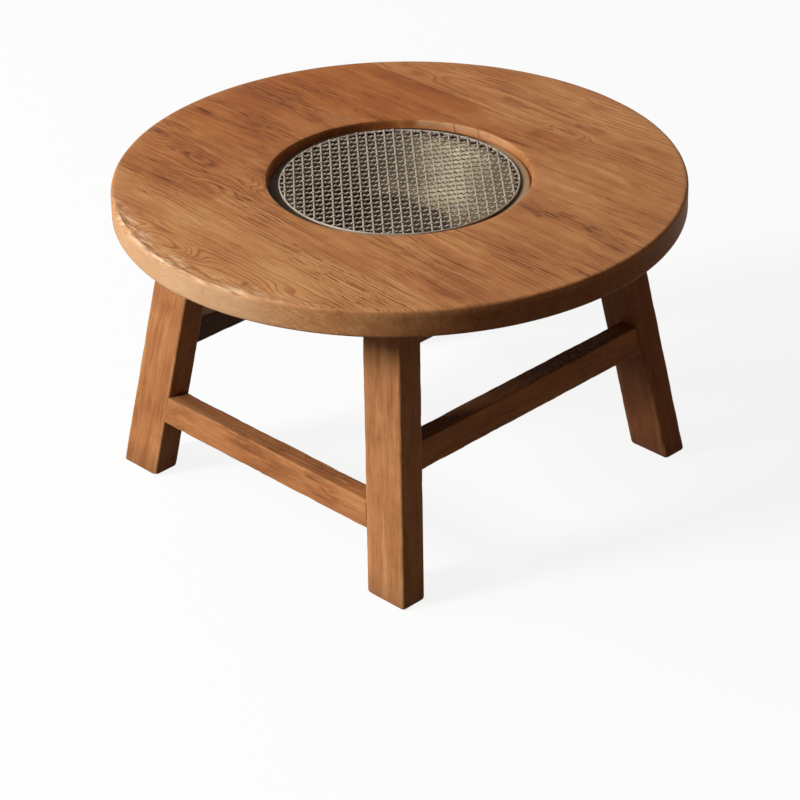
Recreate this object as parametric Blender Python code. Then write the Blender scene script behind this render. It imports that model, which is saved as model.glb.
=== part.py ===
"""A low round table of old hardwood boards with a steel fire bowl and a wire grill in its middle.

Metres, +Z up. The origin is on the floor under the middle of the top. The boards' grain runs
along X. Front is -Y and right is +X.
"""

import math

import bmesh
import bpy
from mathutils import Matrix, Vector

# Fits
GAP = 0.0003
REACH = 0.005

# Top
TABLE_HEIGHT = 0.452
TOP_DIAMETER = 0.800
TOP_THICKNESS = 0.040
TOP_ROUND = 0.007
UNDER_ROUND = 0.004
TOP_SEGMENTS = 80
CENTRE_BOARD_WIDTH = 0.170
NEXT_BOARD_WIDTH = 0.160

# Fire hole
RECESS_DIAMETER = 0.370
RECESS_DEPTH = 0.013
RECESS_ROUND = 0.0015
LEDGE_WIDTH = 0.013

# Legs, with the places of their outer corners at the floor, and at the head along Y
LEG_WIDTH = 0.0695
LEG_DEPTH = 0.041
FOOT_SPREAD_X = 0.2888
FOOT_SPREAD_Y = 0.2918
HEAD_SPREAD_Y = 0.2333
LEG_ROUND = 0.0028
LEG_TENON_WIDTH = 0.032
LEG_TENON_DEPTH = 0.018
LEG_TENON_COVER = 0.009

# Stretchers, all from the same stock: they step up from the front over the sides to the back
STRETCHER_HEIGHT = 0.0403
STRETCHER_THICKNESS = 0.030
STRETCHER_ROUND = 0.002
FRONT_STRETCHER_Z = 0.0895
SIDE_STRETCHER_Z = 0.177
BACK_STRETCHER_Z = 0.264
SIDE_STRETCHER_INSET = 0.006
TENON_THICKNESS = 0.012
TENON_HEIGHT = 0.0225
END_TENON_LENGTH = 0.036
SIDE_TENON_LENGTH = 0.026

# Battens under the top
BATTEN_WIDTH = 0.042
BATTEN_FROM_HOLE = 0.0028
BATTEN_PAST_LEG = 0.030
BATTEN_DROP = 0.024
BATTEN_HOUSING = 0.006
BATTEN_ROUND = 0.003

# Pegs, dowels and screws
PEG_DIAMETER = 0.008
PEG_PAST_TENON = 0.0015
BATTEN_PEG_WALL = 0.003
DOWEL_DIAMETER = 0.010
DOWEL_LENGTH = 0.060
DOWEL_FROM_RIM = 0.050
DOWEL_FROM_RECESS = 0.070
OUTER_DOWEL_FROM_RIM = 0.120
SCREW_HEAD_DIAMETER = 0.010
SCREW_HEAD_HEIGHT = 0.004
SCREW_SHANK_DIAMETER = 0.005
SCREW_BITE = 0.022
SCREW_POINT = 0.008
SCREW_FROM_SEAM = 0.055
ROUND_SEGMENTS = 12
SCREW_SEGMENTS = 8

# Fire bowl
BOWL_FLANGE_CLEARANCE = 0.0035
BOWL_HOLE_CLEARANCE = 0.009
BOWL_TAPER = 0.033
BOWL_DEPTH = 0.085
BOWL_SHEET = 0.0015
BOWL_LIP_ROUND = 0.005
BOWL_FLOOR_ROUND = 0.035
BOWL_SEGMENTS = 44

# Grill
GRILL_SEAT = 0.0085
GRILL_RIM_WIDTH = 0.005
GRILL_RIM_SHEET = 0.0007
GRILL_SEGMENTS = 60
NET_WIRE = 0.0016
NET_PITCH = 0.0178
NET_SELVAGE = 0.004
NET_WARP_ANGLE = 136.0
NET_WEFT_ANGLE = 56.0
NET_LEAST_GAP_AREA = 0.00004

# Worked out from the sizes above
TOP_RADIUS = TOP_DIAMETER / 2
UNDERSIDE_Z = TABLE_HEIGHT - TOP_THICKNESS
RECESS_RADIUS = RECESS_DIAMETER / 2
LEDGE_RADIUS = RECESS_RADIUS - LEDGE_WIDTH
LEDGE_Z = TABLE_HEIGHT - RECESS_DEPTH
INNER_SEAM = CENTRE_BOARD_WIDTH / 2
OUTER_SEAM = INNER_SEAM + NEXT_BOARD_WIDTH
DOWEL_Z = (UNDERSIDE_Z + BATTEN_HOUSING + TABLE_HEIGHT) / 2
BATTEN_X = LEDGE_RADIUS + BATTEN_FROM_HOLE + BATTEN_WIDTH / 2
BATTEN_BOTTOM_Z = UNDERSIDE_Z - BATTEN_DROP
BATTEN_TOP_Z = UNDERSIDE_Z + BATTEN_HOUSING
HEAD_SPREAD_X = BATTEN_X + LEG_WIDTH / 2
HEAD_Z = (BATTEN_BOTTOM_Z + UNDERSIDE_Z) / 2
LEG_TOP_Z = BATTEN_BOTTOM_Z - GAP
LEG_TENON_TOP_Z = BATTEN_TOP_Z - LEG_TENON_COVER
TENON_SIDE = (STRETCHER_THICKNESS - TENON_THICKNESS) / 2
TENON_UNDER = (STRETCHER_HEIGHT - TENON_HEIGHT) / 2
SCREW_TIP_Z = UNDERSIDE_Z + SCREW_BITE
BOWL_FLANGE_Z = LEDGE_Z + GAP + BOWL_SHEET
BOWL_FLANGE_RADIUS = RECESS_RADIUS - BOWL_FLANGE_CLEARANCE
BOWL_MOUTH_RADIUS = LEDGE_RADIUS - BOWL_HOLE_CLEARANCE - BOWL_LIP_ROUND
GRILL_Z = BOWL_FLANGE_Z + GAP
GRILL_RADIUS = BOWL_MOUTH_RADIUS + GRILL_SEAT
GRILL_RIM_HEIGHT = NET_WIRE + 2 * GAP + 2 * GRILL_RIM_SHEET
SIDES = (-1, 1)
SIDE_X = {-1: "left", 1: "right"}
SIDE_Y = {-1: "front", 1: "back"}

# Colours of the oiled wood on each kind of piece, of the pegs and of the metals
BOARD_TONES = ((0.36, 0.15, 0.055), (0.39, 0.17, 0.065), (0.42, 0.19, 0.075))
LEG_TONE = (0.36, 0.155, 0.060)
STRETCHER_TONE = (0.33, 0.14, 0.055)
BATTEN_TONE = (0.30, 0.13, 0.05)
PEG_TONE = (0.45, 0.24, 0.10)
STEEL_TONE = (0.50, 0.47, 0.41)
WIRE_TONE = (0.56, 0.53, 0.48)
SCREW_TONE = (0.42, 0.41, 0.39)


def clear_scene():
    for obj in list(bpy.data.objects):
        bpy.data.objects.remove(obj, do_unlink=True)


def paint(obj, colour, roughness, metallic):
    material = bpy.data.materials.new(obj.name)
    material.use_nodes = True
    shader = material.node_tree.nodes["Principled BSDF"]
    shader.inputs["Base Color"].default_value = (*colour, 1.0)
    shader.inputs["Roughness"].default_value = roughness
    shader.inputs["Metallic"].default_value = metallic
    obj.data.materials.append(material)


def add_part(name, bm, origin=(0.0, 0.0, 0.0), parent=None):
    """Make an object from a shape given in world places, with its own origin."""
    home = Vector(origin)
    bmesh.ops.translate(bm, verts=bm.verts, vec=-home)
    mesh = bpy.data.meshes.new(name)
    bm.to_mesh(mesh)
    bm.free()
    obj = bpy.data.objects.new(name, mesh)
    bpy.context.collection.objects.link(obj)
    obj.parent = parent
    obj.location = home - (parent.location if parent else Vector())
    return obj


def combine(obj, tool_bm, operation):
    """Cut a shape away from an object, or join it on, and keep the result as its mesh."""
    tool = add_part("tool", tool_bm)
    tool.hide_render = True
    tool.display_type = "WIRE"
    boolean = obj.modifiers.new("fit", "BOOLEAN")
    boolean.operation = operation
    boolean.solver = "EXACT"
    boolean.object = tool
    scene_graph = bpy.context.evaluated_depsgraph_get()
    old_mesh = obj.data
    obj.data = bpy.data.meshes.new_from_object(obj.evaluated_get(scene_graph))
    obj.modifiers.remove(boolean)
    bpy.data.meshes.remove(old_mesh)
    obj.data.name = obj.name
    bpy.data.objects.remove(tool, do_unlink=True)


def cut(obj, tool_bm):
    combine(obj, tool_bm, "DIFFERENCE")


def fuse(obj, tool_bm):
    combine(obj, tool_bm, "UNION")


def shade(obj, sharp_angle=40.0):
    obj.data.shade_smooth()
    obj.data.set_sharp_from_angle(angle=math.radians(sharp_angle))


def span(side, near, far):
    """A range on one side of the middle, lowest value first."""
    return tuple(sorted((side * near, side * far)))


def block(z_range, x_range_at, y_range_at, round_radius=0.0):
    """A six-sided block whose ranges in X and Y follow its height."""
    bm = bmesh.new()
    bmesh.ops.create_cube(bm, size=1.0)
    for vert in bm.verts:
        z = z_range[int(vert.co.z > 0)]
        x = x_range_at(z)[int(vert.co.x > 0)]
        y = y_range_at(z)[int(vert.co.y > 0)]
        vert.co = (x, y, z)
    if round_radius:
        bmesh.ops.bevel(bm, geom=bm.edges[:], offset=round_radius, offset_type="OFFSET",
                        segments=2, profile=0.5, affect="EDGES", clamp_overlap=True)
    return bm


def rod(start, end, radius, segments=ROUND_SEGMENTS):
    """A round rod between two points."""
    start, end = Vector(start), Vector(end)
    along = end - start
    turn = along.to_track_quat("Z", "Y").to_matrix().to_4x4()
    place = Matrix.Translation((start + end) / 2) @ turn
    bm = bmesh.new()
    bmesh.ops.create_cone(bm, cap_ends=True, cap_tris=False, segments=segments, radius1=radius,
                          radius2=radius, depth=along.length, matrix=place)
    return bm


def turned(profile, segments, closed):
    """Turn a profile of (radius, height) points about the Z axis."""
    bm = bmesh.new()
    verts = [bm.verts.new((r, 0.0, z)) for r, z in profile]
    pairs = list(zip(verts, verts[1:]))
    if closed:
        pairs.append((verts[-1], verts[0]))
    edges = [bm.edges.new(pair) for pair in pairs]
    bmesh.ops.spin(bm, geom=verts + edges, axis=(0, 0, 1), cent=(0, 0, 0), dvec=(0, 0, 0),
                   angle=math.tau, steps=segments, use_merge=True)
    bmesh.ops.remove_doubles(bm, verts=bm.verts, dist=1e-6)
    bmesh.ops.recalc_face_normals(bm, faces=bm.faces)
    return bm


def arc(centre, radius, from_degrees, to_degrees, steps):
    """Points of an arc in the (radius, height) plane."""
    turns = [math.radians(from_degrees + (to_degrees - from_degrees) * i / steps)
             for i in range(steps + 1)]
    return [(centre[0] + radius * math.cos(t), centre[1] + radius * math.sin(t)) for t in turns]


def leg_x(z):
    """Outer face of the legs along X at a height."""
    return FOOT_SPREAD_X + (HEAD_SPREAD_X - FOOT_SPREAD_X) * z / HEAD_Z


def leg_y(z):
    """Outer face of the legs along Y at a height."""
    return FOOT_SPREAD_Y + (HEAD_SPREAD_Y - FOOT_SPREAD_Y) * z / HEAD_Z


# Table top
def top_ring():
    """The whole top before it is parted into boards, with its recess and through hole."""
    rim_top = arc((TOP_RADIUS - TOP_ROUND, TABLE_HEIGHT - TOP_ROUND), TOP_ROUND, 90, 0, 2)
    rim_under = arc((TOP_RADIUS - UNDER_ROUND, UNDERSIDE_Z + UNDER_ROUND), UNDER_ROUND, 0, -90, 2)
    lip = arc((RECESS_RADIUS + RECESS_ROUND, TABLE_HEIGHT - RECESS_ROUND), RECESS_ROUND, 180, 90, 1)
    floor = [(LEDGE_RADIUS, UNDERSIDE_Z), (LEDGE_RADIUS, LEDGE_Z), (RECESS_RADIUS, LEDGE_Z)]
    return turned(floor + lip + rim_top + rim_under, TOP_SEGMENTS, closed=True)


def keep_side(bm, point, normal):
    """Part a closed shape with a plane, keep what lies behind the plane, and close the cut."""
    parted = bmesh.ops.bisect_plane(bm, geom=bm.verts[:] + bm.edges[:] + bm.faces[:], dist=1e-7,
                                    plane_co=point, plane_no=normal, clear_outer=True)
    rims = [item for item in parted["geom_cut"] if isinstance(item, bmesh.types.BMEdge)]
    if rims:
        bmesh.ops.edgeloop_fill(bm, edges=rims)


def board(name, y_low, y_high, tone, x_side=0):
    bm = top_ring()
    if y_low is not None:
        keep_side(bm, (0, y_low + GAP / 2, 0), (0, -1, 0))
    if y_high is not None:
        keep_side(bm, (0, y_high - GAP / 2, 0), (0, 1, 0))
    if x_side:
        keep_side(bm, (0, 0, 0), (-x_side, 0, 0))
    bmesh.ops.recalc_face_normals(bm, faces=bm.faces)
    obj = add_part(name, bm, (0, 0, UNDERSIDE_Z))
    paint(obj, tone, 0.55, 0.0)
    return obj


def build_boards():
    dark, mid, light = BOARD_TONES
    return {
        "front_edge": board("top_board_front_edge", None, -OUTER_SEAM, light),
        "front": board("top_board_front", -OUTER_SEAM, -INNER_SEAM, mid),
        "centre_left": board("top_board_centre_left", -INNER_SEAM, INNER_SEAM, dark, -1),
        "centre_right": board("top_board_centre_right", -INNER_SEAM, INNER_SEAM, mid, 1),
        "back": board("top_board_back", INNER_SEAM, OUTER_SEAM, dark),
        "back_edge": board("top_board_back_edge", OUTER_SEAM, None, light),
    }


def chord(radius, seam):
    """Half the length of a seam inside a circle."""
    return math.sqrt(radius ** 2 - seam ** 2)


def dowel_spots():
    """Each dowel's place on its seam, with the two boards that it joins."""
    spots = []
    for side in SIDES:
        edge, inner = ("front_edge", "front") if side < 0 else ("back_edge", "back")
        for end in SIDES:
            centre = "centre_left" if end < 0 else "centre_right"
            outer_x = chord(TOP_RADIUS, OUTER_SEAM) - OUTER_DOWEL_FROM_RIM
            near_x = chord(RECESS_RADIUS, INNER_SEAM) + DOWEL_FROM_RECESS
            far_x = chord(TOP_RADIUS, INNER_SEAM) - DOWEL_FROM_RIM
            spots.append((end * outer_x, side * OUTER_SEAM, (edge, inner)))
            spots.append((end * near_x, side * INNER_SEAM, (inner, centre)))
            spots.append((end * far_x, side * INNER_SEAM, (inner, centre)))
    return spots


def build_dowels(boards):
    for number, (x, y, names) in enumerate(dowel_spots(), start=1):
        half = DOWEL_LENGTH / 2
        for name in names:
            hole = rod((x, y - half - GAP, DOWEL_Z), (x, y + half + GAP, DOWEL_Z),
                       DOWEL_DIAMETER / 2 + GAP)
            cut(boards[name], hole)
        dowel = add_part(f"board_dowel_{number:02d}", rod((x, y - half, DOWEL_Z), (x, y + half, DOWEL_Z),
                         DOWEL_DIAMETER / 2), (x, y, DOWEL_Z))
        paint(dowel, PEG_TONE, 0.6, 0.0)
        shade(dowel)


# Legs and stretchers
def leg_tenon(side_x, side_y, grow=0.0):
    """The tenon on top of a leg, or with grow its mortise in the batten."""
    half_x = LEG_TENON_WIDTH / 2 + grow
    half_y = LEG_TENON_DEPTH / 2 + grow

    def x_range(z):
        middle = leg_x(z) - LEG_WIDTH / 2
        return span(side_x, middle - half_x, middle + half_x)

    def y_range(z):
        middle = leg_y(z) - LEG_DEPTH / 2
        return span(side_y, middle - half_y, middle + half_y)

    z_range = (LEG_TOP_Z - REACH, LEG_TENON_TOP_Z + grow)
    return block(z_range, x_range, y_range)


def end_stretcher_z(side_y):
    """The underside of the front or the back stretcher."""
    return FRONT_STRETCHER_Z if side_y < 0 else BACK_STRETCHER_Z


def end_tenon(side_x, side_y, grow=0.0):
    """A tenon of the front or the back stretcher, or with grow its mortise in the leg."""
    low = end_stretcher_z(side_y) + TENON_UNDER
    z_range = (low - grow, low + TENON_HEIGHT + grow)

    def x_range(z):
        face = leg_x(z) - LEG_WIDTH
        return span(side_x, face - REACH, face + END_TENON_LENGTH + grow)

    def y_range(z):
        face = leg_y(z) - TENON_SIDE
        return span(side_y, face - TENON_THICKNESS - grow, face + grow)

    return block(z_range, x_range, y_range)


def side_tenon(side_x, side_y, grow=0.0):
    """A side stretcher's tenon, or with grow its mortise in the leg."""
    low = SIDE_STRETCHER_Z + TENON_UNDER
    z_range = (low - grow, low + TENON_HEIGHT + grow)

    def x_range(z):
        face = leg_x(z) - SIDE_STRETCHER_INSET - TENON_SIDE
        return span(side_x, face - TENON_THICKNESS - grow, face + grow)

    def y_range(z):
        face = leg_y(z) - LEG_DEPTH
        return span(side_y, face - REACH, face + SIDE_TENON_LENGTH + grow)

    return block(z_range, x_range, y_range)


def leg_peg(side_x, side_y, grow=0.0):
    """The peg through a leg's top tenon, or with grow its hole in the batten and the tenon."""
    z = (BATTEN_BOTTOM_Z + LEG_TENON_TOP_Z) / 2
    y = side_y * (leg_y(z) - LEG_DEPTH / 2)
    outer = BATTEN_X + BATTEN_WIDTH / 2 + (REACH if grow else 0.0)
    inner = BATTEN_X - BATTEN_WIDTH / 2 + BATTEN_PEG_WALL - grow
    return rod((side_x * outer, y, z), (side_x * inner, y, z), PEG_DIAMETER / 2 + grow)


def end_peg(side_x, side_y, grow=0.0):
    """The peg through an end tenon, or with grow its hole in the leg and the tenon."""
    z = end_stretcher_z(side_y) + STRETCHER_HEIGHT / 2
    x = side_x * (leg_x(z) - LEG_WIDTH + END_TENON_LENGTH / 2)
    inner = leg_y(z) - LEG_DEPTH - (REACH if grow else 0.0)
    outer = leg_y(z) - TENON_SIDE + PEG_PAST_TENON + grow
    return rod((x, side_y * inner, z), (x, side_y * outer, z), PEG_DIAMETER / 2 + grow)


def side_peg(side_x, side_y, grow=0.0):
    """The peg through a side tenon, or with grow its hole in the leg and the tenon."""
    z = SIDE_STRETCHER_Z + STRETCHER_HEIGHT / 2
    y = side_y * (leg_y(z) - LEG_DEPTH + SIDE_TENON_LENGTH / 2)
    inner = leg_x(z) - LEG_WIDTH - (REACH if grow else 0.0)
    outer = leg_x(z) - SIDE_STRETCHER_INSET - TENON_SIDE + PEG_PAST_TENON + grow
    return rod((side_x * inner, y, z), (side_x * outer, y, z), PEG_DIAMETER / 2 + grow)


def build_leg(side_x, side_y):
    name = f"leg_{SIDE_Y[side_y]}_{SIDE_X[side_x]}"

    def x_range(z):
        return span(side_x, leg_x(z) - LEG_WIDTH, leg_x(z))

    def y_range(z):
        return span(side_y, leg_y(z) - LEG_DEPTH, leg_y(z))

    bm = block((0.0, LEG_TOP_Z), x_range, y_range, LEG_ROUND)
    leg = add_part(name, bm, (side_x * FOOT_SPREAD_X, side_y * FOOT_SPREAD_Y, 0.0))
    fuse(leg, leg_tenon(side_x, side_y))
    cut(leg, leg_peg(side_x, side_y, GAP))
    cut(leg, end_tenon(side_x, side_y, GAP))
    cut(leg, end_peg(side_x, side_y, GAP))
    cut(leg, side_tenon(side_x, side_y, GAP))
    cut(leg, side_peg(side_x, side_y, GAP))
    paint(leg, LEG_TONE, 0.55, 0.0)
    shade(leg)


def build_end_stretcher(side_y):
    name = f"stretcher_{SIDE_Y[side_y]}"
    low = end_stretcher_z(side_y)

    def x_range(z):
        end = leg_x(z) - LEG_WIDTH - GAP
        return (-end, end)

    def y_range(z):
        return span(side_y, leg_y(z) - STRETCHER_THICKNESS, leg_y(z))

    bm = block((low, low + STRETCHER_HEIGHT), x_range, y_range, STRETCHER_ROUND)
    stretcher = add_part(name, bm, (0.0, side_y * leg_y(low), low))
    for side_x in SIDES:
        fuse(stretcher, end_tenon(side_x, side_y))
        cut(stretcher, end_peg(side_x, side_y, GAP))
    paint(stretcher, STRETCHER_TONE, 0.55, 0.0)
    shade(stretcher)


def build_side_stretcher(side_x):
    name = f"stretcher_{SIDE_X[side_x]}"

    def x_range(z):
        face = leg_x(z) - SIDE_STRETCHER_INSET
        return span(side_x, face - STRETCHER_THICKNESS, face)

    def y_range(z):
        end = leg_y(z) - LEG_DEPTH - GAP
        return (-end, end)

    z_range = (SIDE_STRETCHER_Z, SIDE_STRETCHER_Z + STRETCHER_HEIGHT)
    bm = block(z_range, x_range, y_range, STRETCHER_ROUND)
    stretcher = add_part(name, bm, (side_x * leg_x(SIDE_STRETCHER_Z), 0.0, SIDE_STRETCHER_Z))
    for side_y in SIDES:
        fuse(stretcher, side_tenon(side_x, side_y))
        cut(stretcher, side_peg(side_x, side_y, GAP))
    paint(stretcher, STRETCHER_TONE, 0.55, 0.0)
    shade(stretcher)


def build_peg(kind, shape, side_x, side_y):
    name = f"{kind}_{SIDE_Y[side_y]}_{SIDE_X[side_x]}"
    peg = add_part(name, shape(side_x, side_y))
    paint(peg, PEG_TONE, 0.6, 0.0)
    shade(peg)


# Battens and their screws
def screw(x, y, grow=0.0):
    """A countersunk wood screw standing head down in a batten, or with grow its hole."""
    head = SCREW_HEAD_DIAMETER / 2 + grow
    shank = SCREW_SHANK_DIAMETER / 2 + grow
    low = BATTEN_BOTTOM_Z
    high = SCREW_TIP_Z + grow
    mouth = [(0.0, low - REACH), (head, low - REACH)] if grow else [(0.0, low)]
    body = [(head, low), (shank, low + SCREW_HEAD_HEIGHT), (shank, high - SCREW_POINT), (0.0, high)]
    bm = turned(mouth + body, SCREW_SEGMENTS, closed=False)
    bmesh.ops.translate(bm, verts=bm.verts, vec=(x, y, 0.0))
    return bm


def batten_box(side_x, grow=0.0, round_radius=0.0):
    half_x = BATTEN_WIDTH / 2 + grow
    half_y = HEAD_SPREAD_Y + BATTEN_PAST_LEG + grow
    x_range = (side_x * BATTEN_X - half_x, side_x * BATTEN_X + half_x)
    z_range = (BATTEN_BOTTOM_Z, BATTEN_TOP_Z + grow)
    return block(z_range, lambda z: x_range, lambda z: (-half_y, half_y), round_radius)


def build_batten(side_x, boards):
    centre = boards[f"centre_{SIDE_X[side_x]}"]
    crossed = [boards["front_edge"], boards["front"], centre, boards["back"], boards["back_edge"]]
    for one in crossed:
        cut(one, batten_box(side_x, GAP))
    batten = add_part(f"batten_{SIDE_X[side_x]}", batten_box(side_x, 0.0, BATTEN_ROUND),
                      (side_x * BATTEN_X, 0.0, BATTEN_BOTTOM_Z))
    for side_y in SIDES:
        cut(batten, leg_tenon(side_x, side_y, GAP))
        cut(batten, leg_peg(side_x, side_y, GAP))
    spots = (
        (-INNER_SEAM - SCREW_FROM_SEAM, boards["front"]),
        (-INNER_SEAM + SCREW_FROM_SEAM, centre),
        (INNER_SEAM - SCREW_FROM_SEAM, centre),
        (INNER_SEAM + SCREW_FROM_SEAM, boards["back"]),
    )
    for number, (y, above) in enumerate(spots, start=1):
        x = side_x * BATTEN_X
        cut(batten, screw(x, y, GAP))
        cut(above, screw(x, y, GAP))
        part = add_part(f"batten_screw_{SIDE_X[side_x]}_{number}", screw(x, y), (x, y, BATTEN_BOTTOM_Z))
        paint(part, SCREW_TONE, 0.35, 1.0)
        shade(part)
    paint(batten, BATTEN_TONE, 0.65, 0.0)
    shade(batten)


# Fire bowl
def build_bowl():
    floor = BOWL_MOUTH_RADIUS - BOWL_TAPER
    low = BOWL_FLANGE_Z - BOWL_DEPTH
    slope = math.degrees(math.atan2(BOWL_TAPER, BOWL_DEPTH))
    lip_centre = (BOWL_MOUTH_RADIUS + BOWL_LIP_ROUND, BOWL_FLANGE_Z - BOWL_LIP_ROUND)
    lip = arc(lip_centre, BOWL_LIP_ROUND, 90, 180 - slope, 2)
    corner_in = BOWL_FLOOR_ROUND * math.tan(math.radians((90 - slope) / 2))
    corner = arc((floor - corner_in, low + BOWL_FLOOR_ROUND), BOWL_FLOOR_ROUND, -slope, -90, 4)
    profile = [(BOWL_FLANGE_RADIUS, BOWL_FLANGE_Z)] + lip + corner + [(0.0, low)]
    bm = turned(profile, BOWL_SEGMENTS, closed=False)
    inside = max(bm.faces, key=lambda face: face.calc_center_median().z)
    if inside.normal.z < 0:
        bmesh.ops.reverse_faces(bm, faces=bm.faces)
    bowl = add_part("fire_bowl", bm, (0.0, 0.0, BOWL_FLANGE_Z))
    sheet = bowl.modifiers.new("sheet", "SOLIDIFY")
    sheet.thickness = BOWL_SHEET
    sheet.offset = -1.0
    sheet.use_even_offset = True
    paint(bowl, STEEL_TONE, 0.38, 1.0)
    shade(bowl)


# Grill
def build_grill_rim(axis):
    """A band folded over the edge of the net, open towards the middle."""
    outer = GRILL_RADIUS
    inner = GRILL_RADIUS - GRILL_RIM_WIDTH
    back = outer - GRILL_RIM_SHEET
    low = GRILL_Z
    high = GRILL_Z + GRILL_RIM_HEIGHT
    profile = [(inner, low), (inner, low + GRILL_RIM_SHEET), (back, low + GRILL_RIM_SHEET),
               (back, high - GRILL_RIM_SHEET), (inner, high - GRILL_RIM_SHEET), (inner, high),
               (outer, high), (outer, low)]
    rim = add_part("grill_rim", turned(profile, GRILL_SEGMENTS, closed=True), (0.0, 0.0, GRILL_Z), axis)
    paint(rim, WIRE_TONE, 0.3, 1.0)
    shade(rim)


def wire_normal(angle):
    """The level direction across the wires that run at an angle."""
    turn = math.radians(angle + 90.0)
    return Vector((math.cos(turn), math.sin(turn), 0.0))


def build_grill_net(axis):
    """A flat net: bars at the pitch, parted out of a disc, inside a narrow selvage."""
    outer = GRILL_RADIUS - GRILL_RIM_SHEET - GAP
    inner = outer - NET_SELVAGE
    low = GRILL_Z + GRILL_RIM_SHEET + GAP
    normals = [wire_normal(NET_WARP_ANGLE), wire_normal(NET_WEFT_ANGLE)]
    count = int(inner / NET_PITCH) + 1
    bm = bmesh.new()
    bmesh.ops.create_circle(bm, cap_ends=True, segments=GRILL_SEGMENTS, radius=inner)
    for normal in normals:
        for index in range(-count, count + 1):
            for side in SIDES:
                point = normal * (index * NET_PITCH + side * NET_WIRE / 2)
                bmesh.ops.bisect_plane(bm, geom=bm.verts[:] + bm.edges[:] + bm.faces[:], dist=1e-6,
                                       plane_co=point, plane_no=normal)
    border = [edge for edge in bm.edges if len(edge.link_faces) == 1]

    def is_gap(face):
        middle = face.calc_center_median()
        off = [abs((middle.dot(n) + NET_PITCH / 2) % NET_PITCH - NET_PITCH / 2) for n in normals]
        return min(off) > NET_WIRE / 2 and face.calc_area() > NET_LEAST_GAP_AREA

    gaps = [face for face in bm.faces if is_gap(face)]
    print("gaps in the net", len(gaps))
    bmesh.ops.delete(bm, geom=gaps, context="FACES_ONLY")
    grown = bmesh.ops.extrude_edge_only(bm, edges=border)
    for vert in grown["geom"]:
        if isinstance(vert, bmesh.types.BMVert):
            vert.co *= outer / inner
    loose = [edge for edge in bm.edges if not edge.link_faces]
    bmesh.ops.delete(bm, geom=loose, context="EDGES")
    sheet = bmesh.ops.extrude_face_region(bm, geom=bm.faces[:], use_keep_orig=True)
    raised = [item for item in sheet["geom"] if isinstance(item, bmesh.types.BMVert)]
    bmesh.ops.translate(bm, verts=raised, vec=(0.0, 0.0, NET_WIRE))
    bmesh.ops.translate(bm, verts=bm.verts, vec=(0.0, 0.0, low))
    bmesh.ops.recalc_face_normals(bm, faces=bm.faces)
    net = add_part("grill_net", bm, (0.0, 0.0, GRILL_Z), axis)
    paint(net, WIRE_TONE, 0.35, 1.0)


def build_grill():
    axis = bpy.data.objects.new("grill_axis", None)
    bpy.context.collection.objects.link(axis)
    axis.location = (0.0, 0.0, GRILL_Z)
    build_grill_rim(axis)
    build_grill_net(axis)


def build_table():
    boards = build_boards()
    build_dowels(boards)
    for side_x in SIDES:
        build_batten(side_x, boards)
        build_side_stretcher(side_x)
        for side_y in SIDES:
            build_leg(side_x, side_y)
            build_peg("leg_peg", leg_peg, side_x, side_y)
            build_peg("end_stretcher_peg", end_peg, side_x, side_y)
            build_peg("side_stretcher_peg", side_peg, side_x, side_y)
    for side_y in SIDES:
        build_end_stretcher(side_y)
    for one in boards.values():
        shade(one)
    build_bowl()
    build_grill()


clear_scene()
build_table()
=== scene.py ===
import bpy
import bmesh
import math
from functools import partial
from mathutils import Matrix, Vector, noise


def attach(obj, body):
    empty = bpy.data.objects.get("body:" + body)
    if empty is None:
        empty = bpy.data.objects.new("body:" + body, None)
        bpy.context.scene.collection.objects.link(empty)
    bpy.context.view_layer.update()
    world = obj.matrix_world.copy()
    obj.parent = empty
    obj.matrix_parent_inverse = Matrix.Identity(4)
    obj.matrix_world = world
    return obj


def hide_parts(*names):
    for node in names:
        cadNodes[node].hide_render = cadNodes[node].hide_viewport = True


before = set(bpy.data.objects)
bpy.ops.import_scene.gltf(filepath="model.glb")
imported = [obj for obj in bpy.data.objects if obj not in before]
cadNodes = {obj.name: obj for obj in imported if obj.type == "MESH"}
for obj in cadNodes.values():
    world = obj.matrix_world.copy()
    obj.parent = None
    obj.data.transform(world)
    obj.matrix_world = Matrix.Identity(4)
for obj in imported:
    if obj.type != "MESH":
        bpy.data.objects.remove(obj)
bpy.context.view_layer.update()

# Metres, +Z up. Front is -Y and right is +X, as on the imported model.


def linear(hexCode):
    values = [int(hexCode[at:at + 2], 16) / 255 for at in (1, 3, 5)]
    return tuple(v / 12.92 if v <= 0.04045 else ((v + 0.055) / 1.055) ** 2.4 for v in values) + (1.0,)


def smooth(value, low, high):
    t = min(max((value - low) / (high - low), 0.0), 1.0)
    return t * t * (3 - 2 * t)


def wavy(x, y, z):
    return noise.noise(Vector((x, y, z)))


# Adds one shader node, sets it, links its inputs, by name or in their order, and gives back an output
def addNode(tree, kind, settings=None, inputs=None, output=0):
    made = tree.nodes.new("ShaderNode" + kind)
    for name, value in (settings or {}).items():
        if name == "stops":
            ramp = made.color_ramp.elements
            while len(ramp) < len(value):
                ramp.new(0.5)
            for element, (position, colour) in zip(ramp, value):
                element.position = position
                element.color = colour
        else:
            setattr(made, name, value)
    numbered = inputs if isinstance(inputs, dict) else dict(enumerate(inputs or ()))
    for name, value in numbered.items():
        if isinstance(value, bpy.types.NodeSocket):
            tree.links.new(value, made.inputs[name])
        else:
            made.inputs[name].default_value = value
    return made.outputs[output] if output is not None else made


# Settings that many nodes share
plus, minus, times = {"operation": "ADD"}, {"operation": "SUBTRACT"}, {"operation": "MULTIPLY"}
timesPlus, larger = {"operation": "MULTIPLY_ADD"}, {"operation": "MAXIMUM"}
lengthOf, sizeOf = {"operation": "LENGTH"}, {"operation": "ABSOLUTE"}
eased = {"interpolation_type": "SMOOTHSTEP"}
mixed, tinted = {"data_type": "RGBA"}, {"data_type": "RGBA", "blend_type": "MULTIPLY"}
alongLine = {"noise_dimensions": "1D"}


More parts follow.
